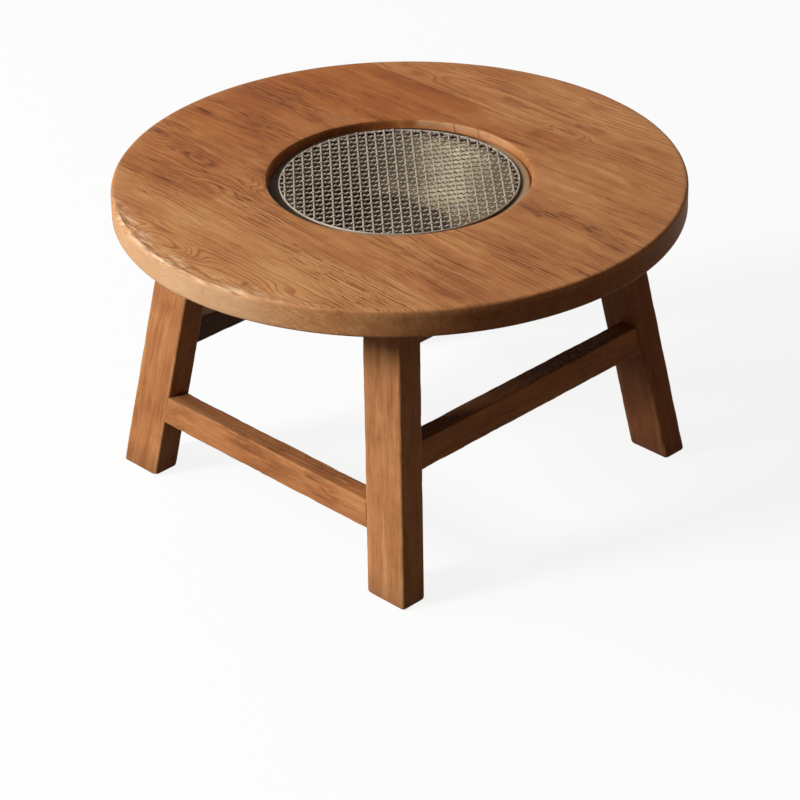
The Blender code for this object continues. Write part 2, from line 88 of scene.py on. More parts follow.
# A new material, and the function that adds nodes to it
def newMaterial(name):
    material = bpy.data.materials.new(name)
    material.use_nodes = True
    material.node_tree.nodes.clear()
    return material, partial(addNode, material.node_tree)


def newPiece(name, bm, material, body, replaced, sharp):
    mesh = bpy.data.meshes.new(name)
    bm.to_mesh(mesh)
    bm.free()
    mesh.materials.append(material)
    mesh.shade_smooth()
    mesh.set_sharp_from_angle(angle=math.radians(sharp))
    piece = bpy.data.objects.new(name, mesh)
    bpy.context.collection.objects.link(piece)
    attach(piece, body)
    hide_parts(*replaced)


def everything(bm):
    return bm.verts[:] + bm.edges[:] + bm.faces[:]


def cutAcross(bm, point, normal):
    bmesh.ops.bisect_plane(bm, geom=everything(bm), dist=1e-6, plane_co=point, plane_no=normal)


# Points of an outline along an arc, as (radius, height)
def arc(r, z, radius, first, last, count):
    turns = [math.radians(first + (last - first) * step / count) for step in range(count + 1)]
    return [(r + radius * math.cos(t), z + radius * math.sin(t)) for t in turns]


# Spins an outline of (radius, height) points round the Z axis
def turned(outline, steps, closed=True):
    bm = bmesh.new()
    verts = [bm.verts.new((r, 0.0, z)) for r, z in outline]
    edges = [bm.edges.new((verts[at - 1], verts[at])) for at in range(0 if closed else 1, len(verts))]
    bmesh.ops.spin(bm, geom=verts + edges, axis=(0, 0, 1), cent=(0, 0, 0), angle=math.tau,
                   steps=steps, use_merge=True)
    bmesh.ops.remove_doubles(bm, verts=bm.verts, dist=1e-6)
    bmesh.ops.recalc_face_normals(bm, faces=bm.faces)
    return bm


# The photograph's camera
camera = {
    "lens": 131.86,
    "sensor": 36,
    "farthest": 60,
    "place": (2.6226, -2.5833, 2.2065),
    "right": (0.70751, 0.70651, -0.01675),
    "up": (-0.34173, 0.36277, 0.86696),
    "back": (0.61859, -0.60766, 0.49809),
}
cameraData = bpy.data.cameras.new("photoCamera")
cameraData.lens = camera["lens"]
cameraData.sensor_width = camera["sensor"]
cameraData.clip_end = camera["farthest"]
cameraObject = bpy.data.objects.new("photoCamera", cameraData)
bpy.context.collection.objects.link(cameraObject)
turn = Matrix([camera[axis] for axis in ("right", "up", "back")]).transposed().to_4x4()
cameraObject.matrix_world = Matrix.Translation(camera["place"]) @ turn
bpy.context.scene.camera = cameraObject

# Light: two soft windows low on the left and a dim warm room
light = {
    "aim": (0.0, 0.0, 0.35),
    "nearWindow": {"azimuth": 243, "elevation": 28.5, "distance": 9.0, "wide": 2.2, "tall": 3.0,
                   "level": 1.10},
    "farWindow": {"azimuth": 212, "elevation": 34, "distance": 8.0, "wide": 2.6, "tall": 1.8,
                  "level": 0.26},
    "roomLevel": 0.116, "roomTint": (1.3, 0.95, 0.78, 1.0),
    "floorHalf": 8, "floorDrop": 0.0004,
    "floorBounce": 0.13,  # share of the light that the floor throws back at the table
    "floorShadow": 0.12,  # how much of the shadow shows on it
}
white = (1.0, 1.0, 1.0, 1.0)


# A lamp of level 1 shows a sheet that faces it in the sheet's own colour
def areaLamp(name, lamp):
    turn, rise = math.radians(lamp["azimuth"]), math.radians(lamp["elevation"])
    toLamp = Vector((math.cos(turn) * math.cos(rise), math.sin(turn) * math.cos(rise), math.sin(rise)))
    data = bpy.data.lights.new(name, "AREA")
    data.shape = "ELLIPSE"
    data.size, data.size_y = lamp["wide"], lamp["tall"]
    data.energy = lamp["level"] * (math.pi * lamp["distance"]) ** 2
    made = bpy.data.objects.new(name, data)
    made.location = Vector(light["aim"]) + toLamp * lamp["distance"]
    made.rotation_mode = "QUATERNION"
    made.rotation_quaternion = (-toLamp).to_track_quat("-Z", "Y")
    bpy.context.collection.objects.link(made)


areaLamp("nearWindowLamp", light["nearWindow"])
areaLamp("farWindowLamp", light["farWindow"])


# 1 for the rays that show the white surroundings: straight to the eye, mirrored or through glass
def shownRay(add):
    path = add("LightPath", output=None)
    first = add("Math", larger, (path.outputs["Is Camera Ray"], path.outputs["Is Glossy Ray"]))
    return add("Math", larger, (first, path.outputs["Is Transmission Ray"]))


world = bpy.data.worlds.new("studio")
bpy.context.scene.world = world
world.use_nodes = True
world.node_tree.nodes.clear()
add = partial(addNode, world.node_tree)
seen = shownRay(add)
level = add("Math", larger, (seen, light["roomLevel"]))
tint = add("Mix", mixed, {0: seen, 6: light["roomTint"], 7: white}, 2)
background = add("Background", None, {"Color": tint, "Strength": level})
add("OutputWorld", None, {"Surface": background}, None)

# Floor: pale to the eye and with the shadow on it, but it throws little light back
bm = bmesh.new()
bmesh.ops.create_grid(bm, x_segments=1, y_segments=1, size=light["floorHalf"])
bmesh.ops.translate(bm, verts=bm.verts, vec=(0, 0, -light["floorDrop"]))
mesh = bpy.data.meshes.new("floor")
bm.to_mesh(mesh)
bm.free()
floor = bpy.data.objects.new("floor", mesh)
bpy.context.collection.objects.link(floor)
material, add = newMaterial("paleStudioFloor")
seen = shownRay(add)
dim = add("BsdfDiffuse", None, {"Color": (light["floorBounce"],) * 3 + (1,)})
pale = add("BsdfDiffuse", None, {"Color": white})
glow = add("Emission", None, {"Color": white, "Strength": 1.0})
shown = add("MixShader", None, {0: light["floorShadow"], 1: glow, 2: pale})
both = add("MixShader", None, {0: seen, 1: dim, 2: shown})
add("OutputMaterial", None, {"Surface": both}, None)
floor.data.materials.append(material)
print("camera, light and floor made")


# Pattern sizes in millimetres along the grain and across it, then the noise's detail and roughness
growth = {
    "drift": (455, 111, 3, 0.5),  # how the grain wanders along the trunk
    "ripple": (100, 62.5, 2, 0.5),
    "bands": (333, 38.5, 1, 0.5),  # where the rings show most
    "crowd": (200, 59, 2, 0.5),  # where open pores crowd together
}
grain = {
    "strokes": (83, 2.3, 3, 0.65),  # rows of pores, really a third of a millimetre wide: coarser to show
    "glints": (125, 6.7, 2, 0.5),
    "fibre": (83, 1.6, 2, 0.6),  # really a tenth of this: coarser to show
    "streak": (200, 15.6, 3, 0.55),
    "pores": (25, 0.83, 1, 0.5),
    "ragged": (25, 6.25, 3, 0.6),  # edge of a rubbed or bare patch
    "torn": (33, 6.7, 2, 0.5),
    "hollow": (29.4, 5.9, 2, 0.5),
}
blotches = {"size": (111, 71.4, 71.4), "detail": 5, "rough": 0.6}  # oil taken up unevenly
# Where each layer begins and ends to show, and what it comes to at the two
showing = {
    "bands": (0.32, 0.68),
    "upper": (0.5, 0.95),
    "crowd": (0.36, 0.64, 0.15, 1.2),
    "strokes": (0.49, 0.65, 0, 1),
    "glints": (0.54, 0.72, 0, 1),
    "pores": (0.6, 0.7, 0),
    "ends": (0.55, 0.98, 0, 0.38),
    "rubbed": (0.35, 0.65),
    "bare": (0.3, 0.6, 0.8, 1),
    "dryness": (0.3, 0.75, 0, 1),
    "torn": (0.44, 0.66, 0, 0.7),
    "hollow": (0.56, 0.7, 0, 0.4),
    "dull": (0.2, 1.4),
}
yearly = {"uneven": 16.7, "unevenBy": 3.0}  # over how many mm the rings' width changes, by how many rings
swirl = {"stretch": 0.36, "near": 0.6, "far": 1.5, "bands": 0.9}  # an eye's shape, where its rings stand out
smudge = {"stretch": 0.5, "ragged": 1.6, "near": 0.95, "far": 1.8}  # a stain's shape and its soft edge
relief = {"rings": -0.5, "fibre": 0.4, "pores": -1.3, "strokes": -0.35, "torn": 0.7, "depth": 0.0009}
# the dark colour stands for dirt, and also for painted shade
deep = {"pore": "#4a2815", "endGrain": "#5f3218", "dirtAndShade": "#2f1a0e", "dirtAndShadeMost": 0.85}
# pale torn fibres on the broken edge, brightened into painted highlights; dark hollows between them: painted
# shade
splinterLightAndShade = {"torn": "#f4d3ae", "hollow": "#8a5c3a"}


# Old oiled elm, sawn and planed: rings round a leaning pith line give straight grain and flame figure
# from one solid pattern, with dark strokes of open pores; bare worn edges turn pale and dry
def elmMaterial(name, pith, slant, look):
    material, add = newMaterial(name)
    point = add("TexCoord", output="Object")
    facing = add("TexCoord", output="Normal")
    along = add("Mapping", {"vector_type": "TEXTURE"},
                {"Vector": point, "Location": pith, "Rotation": slant})
    field = {}
    for layer, (long, wide, detail, rough) in growth.items():
        place = add("VectorMath", times, (along, (1000 / long, 1000 / wide, 1000 / wide)))
        inputs = {"Vector": place, "Scale": 1, "Detail": detail, "Roughness": rough}
        field[layer] = add("TexNoise", None, inputs, None)
    place = add("VectorMath", times, (point, tuple(1000 / size for size in blotches["size"])))
    inputs = {"Vector": place, "Scale": 1, "Detail": blotches["detail"], "Roughness": blotches["rough"]}
    blotch = add("TexNoise", None, inputs, "Fac")

    # growth that wavers along the trunk and swells at a swirl
    bent = along
    for layer, sway in (("drift", look["waver"]), ("ripple", look["ripple"])):
        off = add("VectorMath", minus, (field[layer].outputs["Color"], (0.5, 0.5, 0.5)))
        bent = add("VectorMath", timesPlus, (off, (0, sway, sway), bent))
    flat = add("VectorMath", times, (bent, (0, 1, 1)))
    radius = add("VectorMath", lengthOf, (flat,), "Value")
    swirled = 0.0
    for x, y, reach, lift, tail in look["swirls"]:
        # the eye is drawn out before its middle, and by its tail after it, where the flame opens
        spot = add("Mapping", None, {"Vector": point, "Location": (-x, -y, 0), "Scale": (1, 1, 0)})
        spot = add("SeparateXYZ", None, (spot,), None)
        before = add("Math", times, (spot.outputs["X"], -swirl["stretch"]))
        after = add("Math", times, (spot.outputs["X"], tail))
        length = add("Math", larger, (before, after))
        oval = add("CombineXYZ", None, (length, spot.outputs["Y"]))
        away = add("VectorMath", lengthOf, (oval,), "Value")
        swell = add("MapRange", {"interpolation_type": "SMOOTHERSTEP"}, (away, 0, reach, lift, 0))
        radius = add("Math", plus, (radius, swell))
        fade = (reach * swirl["near"], reach * swirl["far"], swirl["bands"], 0)
        near = add("MapRange", eased, (away,) + fade)
        swirled = add("Math", larger, (near, swirled))
    for layer, (long, wide, detail, rough) in grain.items():
        place = add("VectorMath", times, (bent, (1000 / long, 1000 / wide, 1000 / wide)))
        inputs = {"Vector": place, "Scale": 1, "Detail": detail, "Roughness": rough}
        field[layer] = add("TexNoise", None, inputs, None)
    field = {layer: made.outputs["Fac"] for layer, made in field.items()}

    # yearly rings of uneven width, pale early wood that darkens to a late line
    travel = add("Math", times, (radius, 1000 / yearly["uneven"]))
    uneven = add("TexNoise", alongLine, {"W": travel, "Scale": 1, "Detail": 1}, "Fac")
    years = add("Math", times, (radius, 1 / look["ring"]))
    years = add("Math", timesPlus, (uneven, yearly["unevenBy"], years))
    years = add("Math", {"operation": "FRACT"}, (years,))
    start = look["lateFrom"]
    profile = ((0.0, 0.3), (0.1, 0.0), (start, 0.15), (0.4 * start + 0.57, 0.85), (0.96, 1.0), (1.0, 0.3))
    mean = sum((b[0] - a[0]) * (a[1] + b[1]) / 2 for a, b in zip(profile, profile[1:]))
    stops = [(at, (value, value, value, 1.0)) for at, value in profile]
    late = add("ValToRGB", {"stops": stops}, {"Fac": years})
    late = add("Math", minus, (late, mean))
    bands = add("MapRange", eased, (field["bands"],) + showing["bands"] + (look["ringLeast"], 1))
    upper = add("SeparateXYZ", None, (facing,), "Z")
    upper = add("Math", sizeOf, (upper,))
    quiet = add("MapRange", eased, (upper,) + showing["upper"] + (look["edgeRings"], 1))
    if look["swirls"]:
        bands = add("Math", larger, (bands, swirled))
    bands = add("Math", times, (bands, quiet))
    rings = add("Math", times, (late, bands))

    # dark and pale strokes, fibres, wide streaks, pores and blotches of oil
    for layer in ("crowd", "strokes", "glints"):
        field[layer] = add("MapRange", eased, (field[layer],) + showing[layer])
    crowd = add("Math", times, (field["crowd"], quiet))
    strokes = add("Math", times, (field["strokes"], crowd))
    pores = add("MapRange", eased, (field["pores"],) + showing["pores"] + (look["poreDepth"],))
    pores = add("Math", times, (pores, quiet))
    layers = ((rings, -look["ringDepth"]), (strokes, -look["strokeDepth"]),
              (field["glints"], look["glintDepth"]), (field["fibre"], look["fibreDepth"]),
              (field["streak"], look["streakDepth"]), (blotch, look["blotchDepth"]))
    shade = look["tone"] - 0.5 * (look["fibreDepth"] + look["streakDepth"] + look["blotchDepth"])
    for layer, depth in layers:
        shade = add("Math", timesPlus, (layer, depth, shade))
    for x, y, size, depth in look["stains"]:
        spread = smudge["stretch"]
        spot = add("Mapping", None,
                   {"Vector": point, "Location": (-spread * x, -y, 0), "Scale": (spread, 1, 0)})
        away = add("VectorMath", lengthOf, (spot,), "Value")
        away = add("Math", timesPlus, (blotch, size * smudge["ragged"], away))
        mask = add("MapRange", eased, (away, size * smudge["near"], size * smudge["far"], depth, 0))
        shade = add("Math", minus, (shade, mask))
    stops = [(at, linear(code)) for at, code in look["palette"]]
    colour = add("ValToRGB", {"stops": stops}, {"Fac": shade})
    colour = add("Mix", mixed, {0: pores, 6: colour, 7: linear(deep["pore"])}, 2)

    # redder towards the left and greyer towards the right: painted sheen, as of the pale room mirrored there;
    # a blotchy border
    east = add("SeparateXYZ", None, (point,), "X")
    border = 0.5
    east = add("Math", timesPlus, (blotch, border, east))
    reach = (look["warmNone"] + border / 2, look["warmFull"] + border / 2, 0, look["warm"])
    paintedSheen = add("MapRange", eased, (east,) + reach)
    colour = add("Mix", tinted, {0: paintedSheen, 6: colour, 7: linear(look["paintedSheen"])}, 2)

    # end grain drinks more oil
    spin = Matrix.Identity(3)
    for angle, axis in zip(slant, "XYZ"):
        spin = Matrix.Rotation(angle, 3, axis) @ spin
    ends = add("VectorMath", {"operation": "DOT_PRODUCT"}, (facing, spin @ Vector((1, 0, 0))), "Value")
    ends = add("Math", sizeOf, (ends,))
    ends = add("MapRange", eased, (ends,) + showing["ends"])
    colour = add("Mix", mixed, {0: ends, 6: colour, 7: linear(deep["endGrain"])}, 2)

    # wear kept at the points of the mesh: rubbed, bare, dark with dirt and painted shade, and splintered in
    # the alpha
    marks = add("Attribute", {"attribute_name": "surface"}, None, None)
    wear = add("SeparateColor", None, {"Color": marks.outputs["Color"]}, None)
    rubbing = showing["rubbed"] + (0.25 * look["rubbing"], look["rubbing"])
    rubbed = add("MapRange", eased, (field["ragged"],) + rubbing)
    rubbed = add("Math", times, (rubbed, wear.outputs["Red"]))
    bare = add("MapRange", eased, (field["ragged"],) + showing["bare"])
    bare = add("Math", times, (bare, wear.outputs["Green"]))
    dryness = add("Math", timesPlus, (rings, 0.5, blotch))
    dryness = add("MapRange", eased, (dryness,) + showing["dryness"])
    dry = add("Mix", mixed, {0: dryness, 6: linear(look["bareLight"]), 7: linear(look["bareDark"])}, 2)
    colour = add("Mix", mixed, {0: rubbed, 6: colour, 7: linear(look["rubbed"])}, 2)
    colour = add("Mix", mixed, {0: bare, 6: colour, 7: dry}, 2)
    # splinters on the broken edge: painted highlights on the torn fibres, painted shade in the hollows
    if look["splintered"]:
        for layer, code in splinterLightAndShade.items():
            part = add("MapRange", eased, (field[layer],) + showing[layer])
            part = add("Math", times, (part, marks.outputs["Alpha"]))
            colour = add("Mix", mixed, {0: part, 6: colour, 7: linear(code)}, 2)
    # the blue mark darkens with dirt and with painted shade: under the top, on its lower edge and shaded side,
    # low in the recess, on the stretchers' upper faces
    dirtAndShade = add("Math", times, (wear.outputs["Blue"], deep["dirtAndShadeMost"]))
    colour = add("Mix", mixed, {0: dirtAndShade, 6: colour, 7: linear(deep["dirtAndShade"])}, 2)

    torn = add("Math", times, (field["ragged"], bare))
    height = add("Math", times, (rings, relief["rings"]))
    for layer, kind in ((field["fibre"], "fibre"), (pores, "pores"), (strokes, "strokes"), (torn, "torn")):
        height = add("Math", timesPlus, (layer, relief[kind], height))
    bump = add("Bump", None, {"Strength": look["bump"], "Distance": relief["depth"], "Height": height})
    dull = add("Math", plus, (shade, bare))
    rough = add("MapRange", None, (dull,) + showing["dull"] + look["rough"])
    surface = add("BsdfPrincipled", None, {
        "Base Color": colour, "Roughness": rough, "Normal": bump, "Specular IOR Level": look["shine"]})
    add("OutputMaterial", None, {"Surface": surface}, None)
    return material


palettes = {
    "top": ((0.0, "#542c16"), (0.25, "#86502c"), (0.5, "#ac6f43"), (0.72, "#c08654"), (1.0, "#d6a16c")),
    "leg": ((0.0, "#582c15"), (0.25, "#87502d"), (0.5, "#a76b40"), (0.72, "#b87d50"), (1.0, "#ca9562")),
    "redLeg": ((0.0, "#43200f"), (0.25, "#6e3b20"), (0.5, "#8a5030"), (0.72, "#9b613c"), (1.0, "#ae7a4f")),
    # darkest palette: painted shade for the stretcher in the top's shadow
    "paintedShadeRail": ((0.0, "#1e0f08"), (0.25, "#2f190e"), (0.5, "#452717"), (0.72, "#553320"), (1.0, "#6b442c")),
    "goldenLeg": ((0.0, "#5a3018"), (0.25, "#8a5531"), (0.5, "#aa7147"), (0.72, "#bb8457"), (1.0, "#cc9b69")),
    "peg": ((0.0, "#5a331b"), (0.3, "#85562f"), (0.6, "#a5723f"), (1.0, "#bf8c55")),
}
elm = {
    "palette": palettes["top"], "tone": 0.55,
    "ring": 0.0046, "lateFrom": 0.5, "waver": 0.026, "ripple": 0.010,
    "ringDepth": 0.16, "ringLeast": 0.2, "edgeRings": 0.3,
    "strokeDepth": 0.42, "glintDepth": 0.14, "fibreDepth": 0.12, "streakDepth": 0.60,
    "blotchDepth": 0.70, "poreDepth": 0.22,
    "bump": 0.35, "rough": (0.44, 0.70), "shine": 0.05,
    # the warm tint: painted sheen, redder towards the left and greyer towards the right
    "warm": 0.3, "warmNone": 0.2, "warmFull": -0.3, "paintedSheen": "#eed7bf",
    "rubbing": 0.6, "rubbed": "#c08d5f", "bareLight": "#d6ac83", "bareDark": "#c29a74",
    "splintered": False,
    "swirls": (),  # each one's x and y, how far it reaches, how far it swells, and its tail's stretch
    "stains": (),  # each one's x and y, its size, and how dark it is
}


# Table top: a turned ring of six boards
top = {
    "radius": 0.400, "height": 0.452, "under": 0.412, "arris": 0.007, "underArris": 0.004,
    "recess": 0.185, "lip": 0.0018, "ledge": 0.439, "hole": 0.172,
    "steps": 640, "topRings": 25, "wallRings": 6, "underRings": 7, "underStep": 0.03,
    "gap": 0.00004, "seamCut": 0.0014, "sharp": 38,
}
arrisR, arrisZ = top["radius"] - top["arris"], top["height"] - top["arris"]


def topRing():
    t = top
    outline = [(t["hole"], t["under"]), (t["hole"], t["ledge"]), (t["recess"], t["ledge"])]
    outline.append((t["recess"], (t["ledge"] + t["height"]) / 2))
    first, rings = t["recess"] + t["lip"], t["topRings"]
    outline += arc(first, t["height"] - t["lip"], t["lip"], 180, 90, 3)
    outline += [(first + (arrisR - first) * step / rings, t["height"]) for step in range(1, rings)]
    outline += arc(arrisR, arrisZ, t["arris"], 90, 0, 7)
    low, rings = t["under"] + t["underArris"], t["wallRings"]
    outline += [(t["radius"], arrisZ + (low - arrisZ) * step / rings) for step in range(1, rings)]
    outline += arc(t["radius"] - t["underArris"], low, t["underArris"], 0, -90, 4)
    outline += [(t["radius"] - t["underStep"] * step, t["under"]) for step in range(1, t["underRings"] + 1)]
    return turned(outline, t["steps"])


def keepSide(bm, point, normal):
    cut = bmesh.ops.bisect_plane(bm, geom=everything(bm), dist=1e-7, plane_co=point, plane_no=normal,
                                 clear_outer=True)
    rim = [item for item in cut["geom_cut"] if isinstance(item, bmesh.types.BMEdge)]
    if rim:
        bmesh.ops.edgeloop_fill(bm, edges=rim)


# Wear of the top, and shade painted on it: angles in degrees round it from +X, rings as radii, and shares of 1
topWearAndShade = {
    "bare": (-132, -116, -86, -56),  # the broken stretch of the edge: begins, full, fades, gone
    "sink": 0.0026, "sinkFrom": 0.370,  # how far the top sinks to it
    "roll": 0.0003, "rollLow": 0.4, "wornRing": (0.30, 0.392), "worn": 0.0006, "wornUneven": 0.0005,
    "openSeam": 0.245, "seamDirt": 0.5, "seamWidth": (0.0002, 0.0012),
    "paleRing": (0.366, 0.394), "paleTop": 0.35, "tornRing": (0.368, 0.392),
    "rubbedRing": (0.378, 0.394), "rubbedTop": 0.7,
    "crisp": 2.0,  # how much squarer than round the arris is
    "ease": 0.0003, "easeUneven": 0.00025, "broken": 0.0012, "brokenFine": 0.0005,
    "rubbedArris": 0.5, "tornPlace": (0.1, 0.6),
    "chips": ((-77.0, 0.010, 0.0030), (-112, 0.012, 0.0022), (-98, 0.008, 0.0018),
              (-125, 0.010, 0.0020), (-62, 0.008, 0.0012)),  # angle, width, depth
    "wallUneven": 0.0005, "rubbedWall": (0.442, 0.447), "paleWall": (-106, -92),
    # painted shade on the stretch of the rim that turns from the light
    "paintedShadeWall": (-60, -42, 20, 60, 0.22),  # a stretch, then how dark
    # painted shade under the top and on the rim's lower edge
    "paintedShadeUnder": 0.25, "paintedShadeLow": 0.5,
    "dents": ((-85.0, 0.4329, 0.0045), (-109.3, 0.4267, 0.0045), (-81.0, 0.4240, 0.003)),  # angle, z, size
    # how dark the nail holes are: dirt and painted shade
    "dentDepth": 0.0012, "dentDirtAndShade": 0.45,
    # pale on the stretch the light falls on: pale wood and painted light; painted shade low in the recess
    # outside it
    "paleRecess": (66, 82, 125, 129), "darkRecess": (15, 40, 62, 84, 0.3), "paintedShadeRecess": 0.04,
    "cracks": ((109.0, 0.9), (96.5, 0.7), (71.0, 0.4)),  # angle, how dark
    "crackLean": 90, "crackWidth": 0.55,  # degrees per metre of height, degrees
    "rubbedLip": 0.6, "lipRub": 0.004,
    # a chip at the front edge, dark with dirt and painted shade
    "notch": (0.083, -0.368, 0.009), "notchDirtAndShade": 0.75,
}
# Unevenness of the wear: turns per metre along X, Y and Z, and where the noise starts
waves = {
    "roll": (9, 26, 0, 3.1), "worn": (25, 70, 0, 1.7), "paleTop": (40, 90, 0, 0.3),
    "ease": (28, 28, 0, 5.0), "broken": (38, 60, 0, 9.0), "brokenFine": (90, 150, 0, 2.0),
    "paleArris": (60, 60, 0, 4.0), "wall": (12, 12, 18, 0), "paleWall": (30, 30, 60, 0),
    "recess": (50, 50, 90, 0),
}


def wave(kind, spot):
    perX, perY, perZ, start = waves[kind]
    return wavy(spot.x * perX, spot.y * perY, spot.z * perZ + start)


# 1 on the stretch between full and fade, and none before it begins or after it is gone
def stretch(degrees, begins, full, fade, gone):
    return smooth(degrees, begins, full) * (1 - smooth(degrees, fade, gone))


# The next four wear one zone each and give back its marks: rubbed, bare, dark with dirt and painted shade, and
# splintered
def wearPlaned(vert, spot, r, bare):
    w = topWearAndShade
    vert.co.z += w["roll"] * (wave("roll", spot) - w["rollLow"])
    vert.co.z -= smooth(r, *w["wornRing"]) * bare * (w["worn"] + w["wornUneven"] * wave("worn", spot))
    vert.co.z -= bare * w["sink"] * smooth(r, w["sinkFrom"], arrisR)
    grimeAndShade = w["seamDirt"] * (1 - smooth(abs(spot.y - w["openSeam"]), *w["seamWidth"]))
    pale = w["paleTop"] * smooth(r, *w["paleRing"]) * bare * (0.65 + 0.5 * wave("paleTop", spot))
    return w["rubbedTop"] * smooth(r, *w["rubbedRing"]), pale, grimeAndShade, bare * smooth(r, *w["tornRing"])


# Eased all round, broken and chipped where it is bare; crisper than a quarter circle, but not there
def wearArris(vert, spot, r, degrees, out, bare):
    w = topWearAndShade
    place = math.atan2(spot.z - arrisZ, r - arrisR) / (math.pi / 2)
    weight = math.sin(math.pi * min(max(place, 0.06), 0.94))
    along = min(max(place, 0.0), 1.0)
    power = 2 / (2 + w["crisp"] * (1 - bare))
    vert.co = out * (arrisR + top["arris"] * math.cos(along * math.pi / 2) ** power)
    vert.co.z = arrisZ + top["arris"] * math.sin(along * math.pi / 2) ** power
    vert.co.z -= bare * w["sink"] * along
    ease = w["ease"] + w["easeUneven"] * (1 + wave("ease", spot))
    broken = w["broken"] * (1 + wave("broken", spot)) + w["brokenFine"] * wave("brokenFine", spot)
    ease += bare * broken
    for chipAt, width, depth in w["chips"]:
        off = math.radians(degrees - chipAt) * top["radius"] / width
        ease += depth * max(0.0, 1 - off * off)
    vert.co -= (out + Vector((0, 0, 1))).normalized() * max(ease, 0.0) * weight
    pale = bare * (0.7 + 0.3 * wave("paleArris", spot))
    torn = bare * (0.35 * weight + 0.65 * smooth(place, *w["tornPlace"]))
    return w["rubbedArris"], pale, 0.0, torn


def wearAndShadeWall(vert, spot, r, degrees, out, bare):
    w = topWearAndShade
    vert.co -= out * w["wallUneven"] * wave("wall", spot) * (0.5 + 0.8 * bare)
    rubbed = 0.06 + 0.5 * smooth(spot.z, *w["rubbedWall"])
    pale = bare * (0.84 + 0.14 * smooth(degrees, *w["paleWall"]) + 0.1 * wave("paleWall", spot))
    # painted shade on the side of the rim turned from the light
    grimeAndShade = w["paintedShadeWall"][4] * stretch(degrees, *w["paintedShadeWall"][:4])
    # painted shade on the rim's lower edge, which faces down
    low = 1 - smooth(spot.z, top["under"], top["under"] + top["underArris"])
    grimeAndShade = max(grimeAndShade, w["paintedShadeLow"] * (1 - bare) * low)
    # nail holes, dented in and darkened with dirt and painted shade
    for dentAt, dentZ, size in w["dents"]:
        off = math.hypot(math.radians(degrees - dentAt) * r * 1.5, spot.z - dentZ)
        near = max(0.0, 1 - off / size)
        vert.co -= out * w["dentDepth"] * near
        grimeAndShade = max(grimeAndShade, w["dentDirtAndShade"] * near)
    return rubbed, pale, grimeAndShade, 0.0


def wearAndShadeRecess(spot, degrees):
    w = topWearAndShade
    # the lit stretch is paler: worn pale wood and painted light; outside it, painted shade low down
    lit = stretch(degrees, *w["paleRecess"])
    above = smooth(spot.z, top["ledge"] - 0.001, top["ledge"] + 0.003)
    pale = lit * (0.58 + 0.4 * wave("recess", spot)) * above
    grimeAndShade = w["paintedShadeRecess"] * (1 - smooth(spot.z, top["ledge"], top["height"])) * (1 - lit)
    grimeAndShade = max(grimeAndShade, w["darkRecess"][4] * stretch(degrees, *w["darkRecess"][:4]))
    for crackAt, depth in w["cracks"]:
        off = abs(degrees - crackAt - (spot.z - top["ledge"]) * w["crackLean"])
        grimeAndShade = max(grimeAndShade, depth * max(0.0, 1 - off / w["crackWidth"]))
    return w["rubbedLip"] * smooth(spot.z, top["height"] - w["lipRub"], top["height"]), pale, grimeAndShade, 0.0


def wearAndShadeTop(bm):
    marks = bm.verts.layers.float_color.new("surface")
    notchX, notchY, notchSize = topWearAndShade["notch"]
    close = 1e-4
    for vert in bm.verts:
        spot = vert.co.copy()
        r = math.hypot(spot.x, spot.y)
        degrees = math.degrees(math.atan2(spot.y, spot.x))
        out = Vector((spot.x / r, spot.y / r, 0.0))
        bare = stretch(degrees, *topWearAndShade["bare"])
        rubbed, pale, grimeAndShade, torn = 0.0, 0.0, 0.0, 0.0
        if spot.z > top["height"] - 4 * close and r < arrisR + close:
            rubbed, pale, grimeAndShade, torn = wearPlaned(vert, spot, r, bare)
        elif r > arrisR - close and spot.z > arrisZ - close:
            rubbed, pale, grimeAndShade, torn = wearArris(vert, spot, r, degrees, out, bare)
        elif r > arrisR + close:
            rubbed, pale, grimeAndShade, torn = wearAndShadeWall(vert, spot, r, degrees, out, bare)
        elif spot.z < top["under"] + 10 * close:
            # painted shade under the top
            grimeAndShade = topWearAndShade["paintedShadeUnder"]
        elif r < top["recess"] + top["lip"]:
            rubbed, pale, grimeAndShade, torn = wearAndShadeRecess(spot, degrees)
        # the chip at the front edge, darkened with dirt and painted shade
        if spot.z > arrisZ:
            off = math.hypot((spot.x - notchX) * 1.6, spot.y - notchY)
            grimeAndShade = max(grimeAndShade, topWearAndShade["notchDirtAndShade"] * max(0.0, 1 - off / notchSize))
        vert[marks] = (rubbed, max(pale, 0.0), grimeAndShade, torn)


wholeTop = topRing()


def makeBoard(node, yLow, yHigh, side, material):
    bm = wholeTop.copy()
    if yLow is not None:
        keepSide(bm, (0, yLow + top["gap"] / 2, 0), (0, -1, 0))
    if yHigh is not None:
        keepSide(bm, (0, yHigh - top["gap"] / 2, 0), (0, 1, 0))
    if side:
        keepSide(bm, (0, 0, 0), (-side, 0, 0))
    for seam, inward in ((yLow, 1), (yHigh, -1)):
        if seam is not None:
            cutAcross(bm, (0, seam + inward * top["seamCut"], 0), (0, 1, 0))
    wearAndShadeTop(bm)
    bmesh.ops.recalc_face_normals(bm, faces=bm.faces)
    newPiece(node.replace("top_board", "elm_board"), bm, material, "table", (node,), top["sharp"])


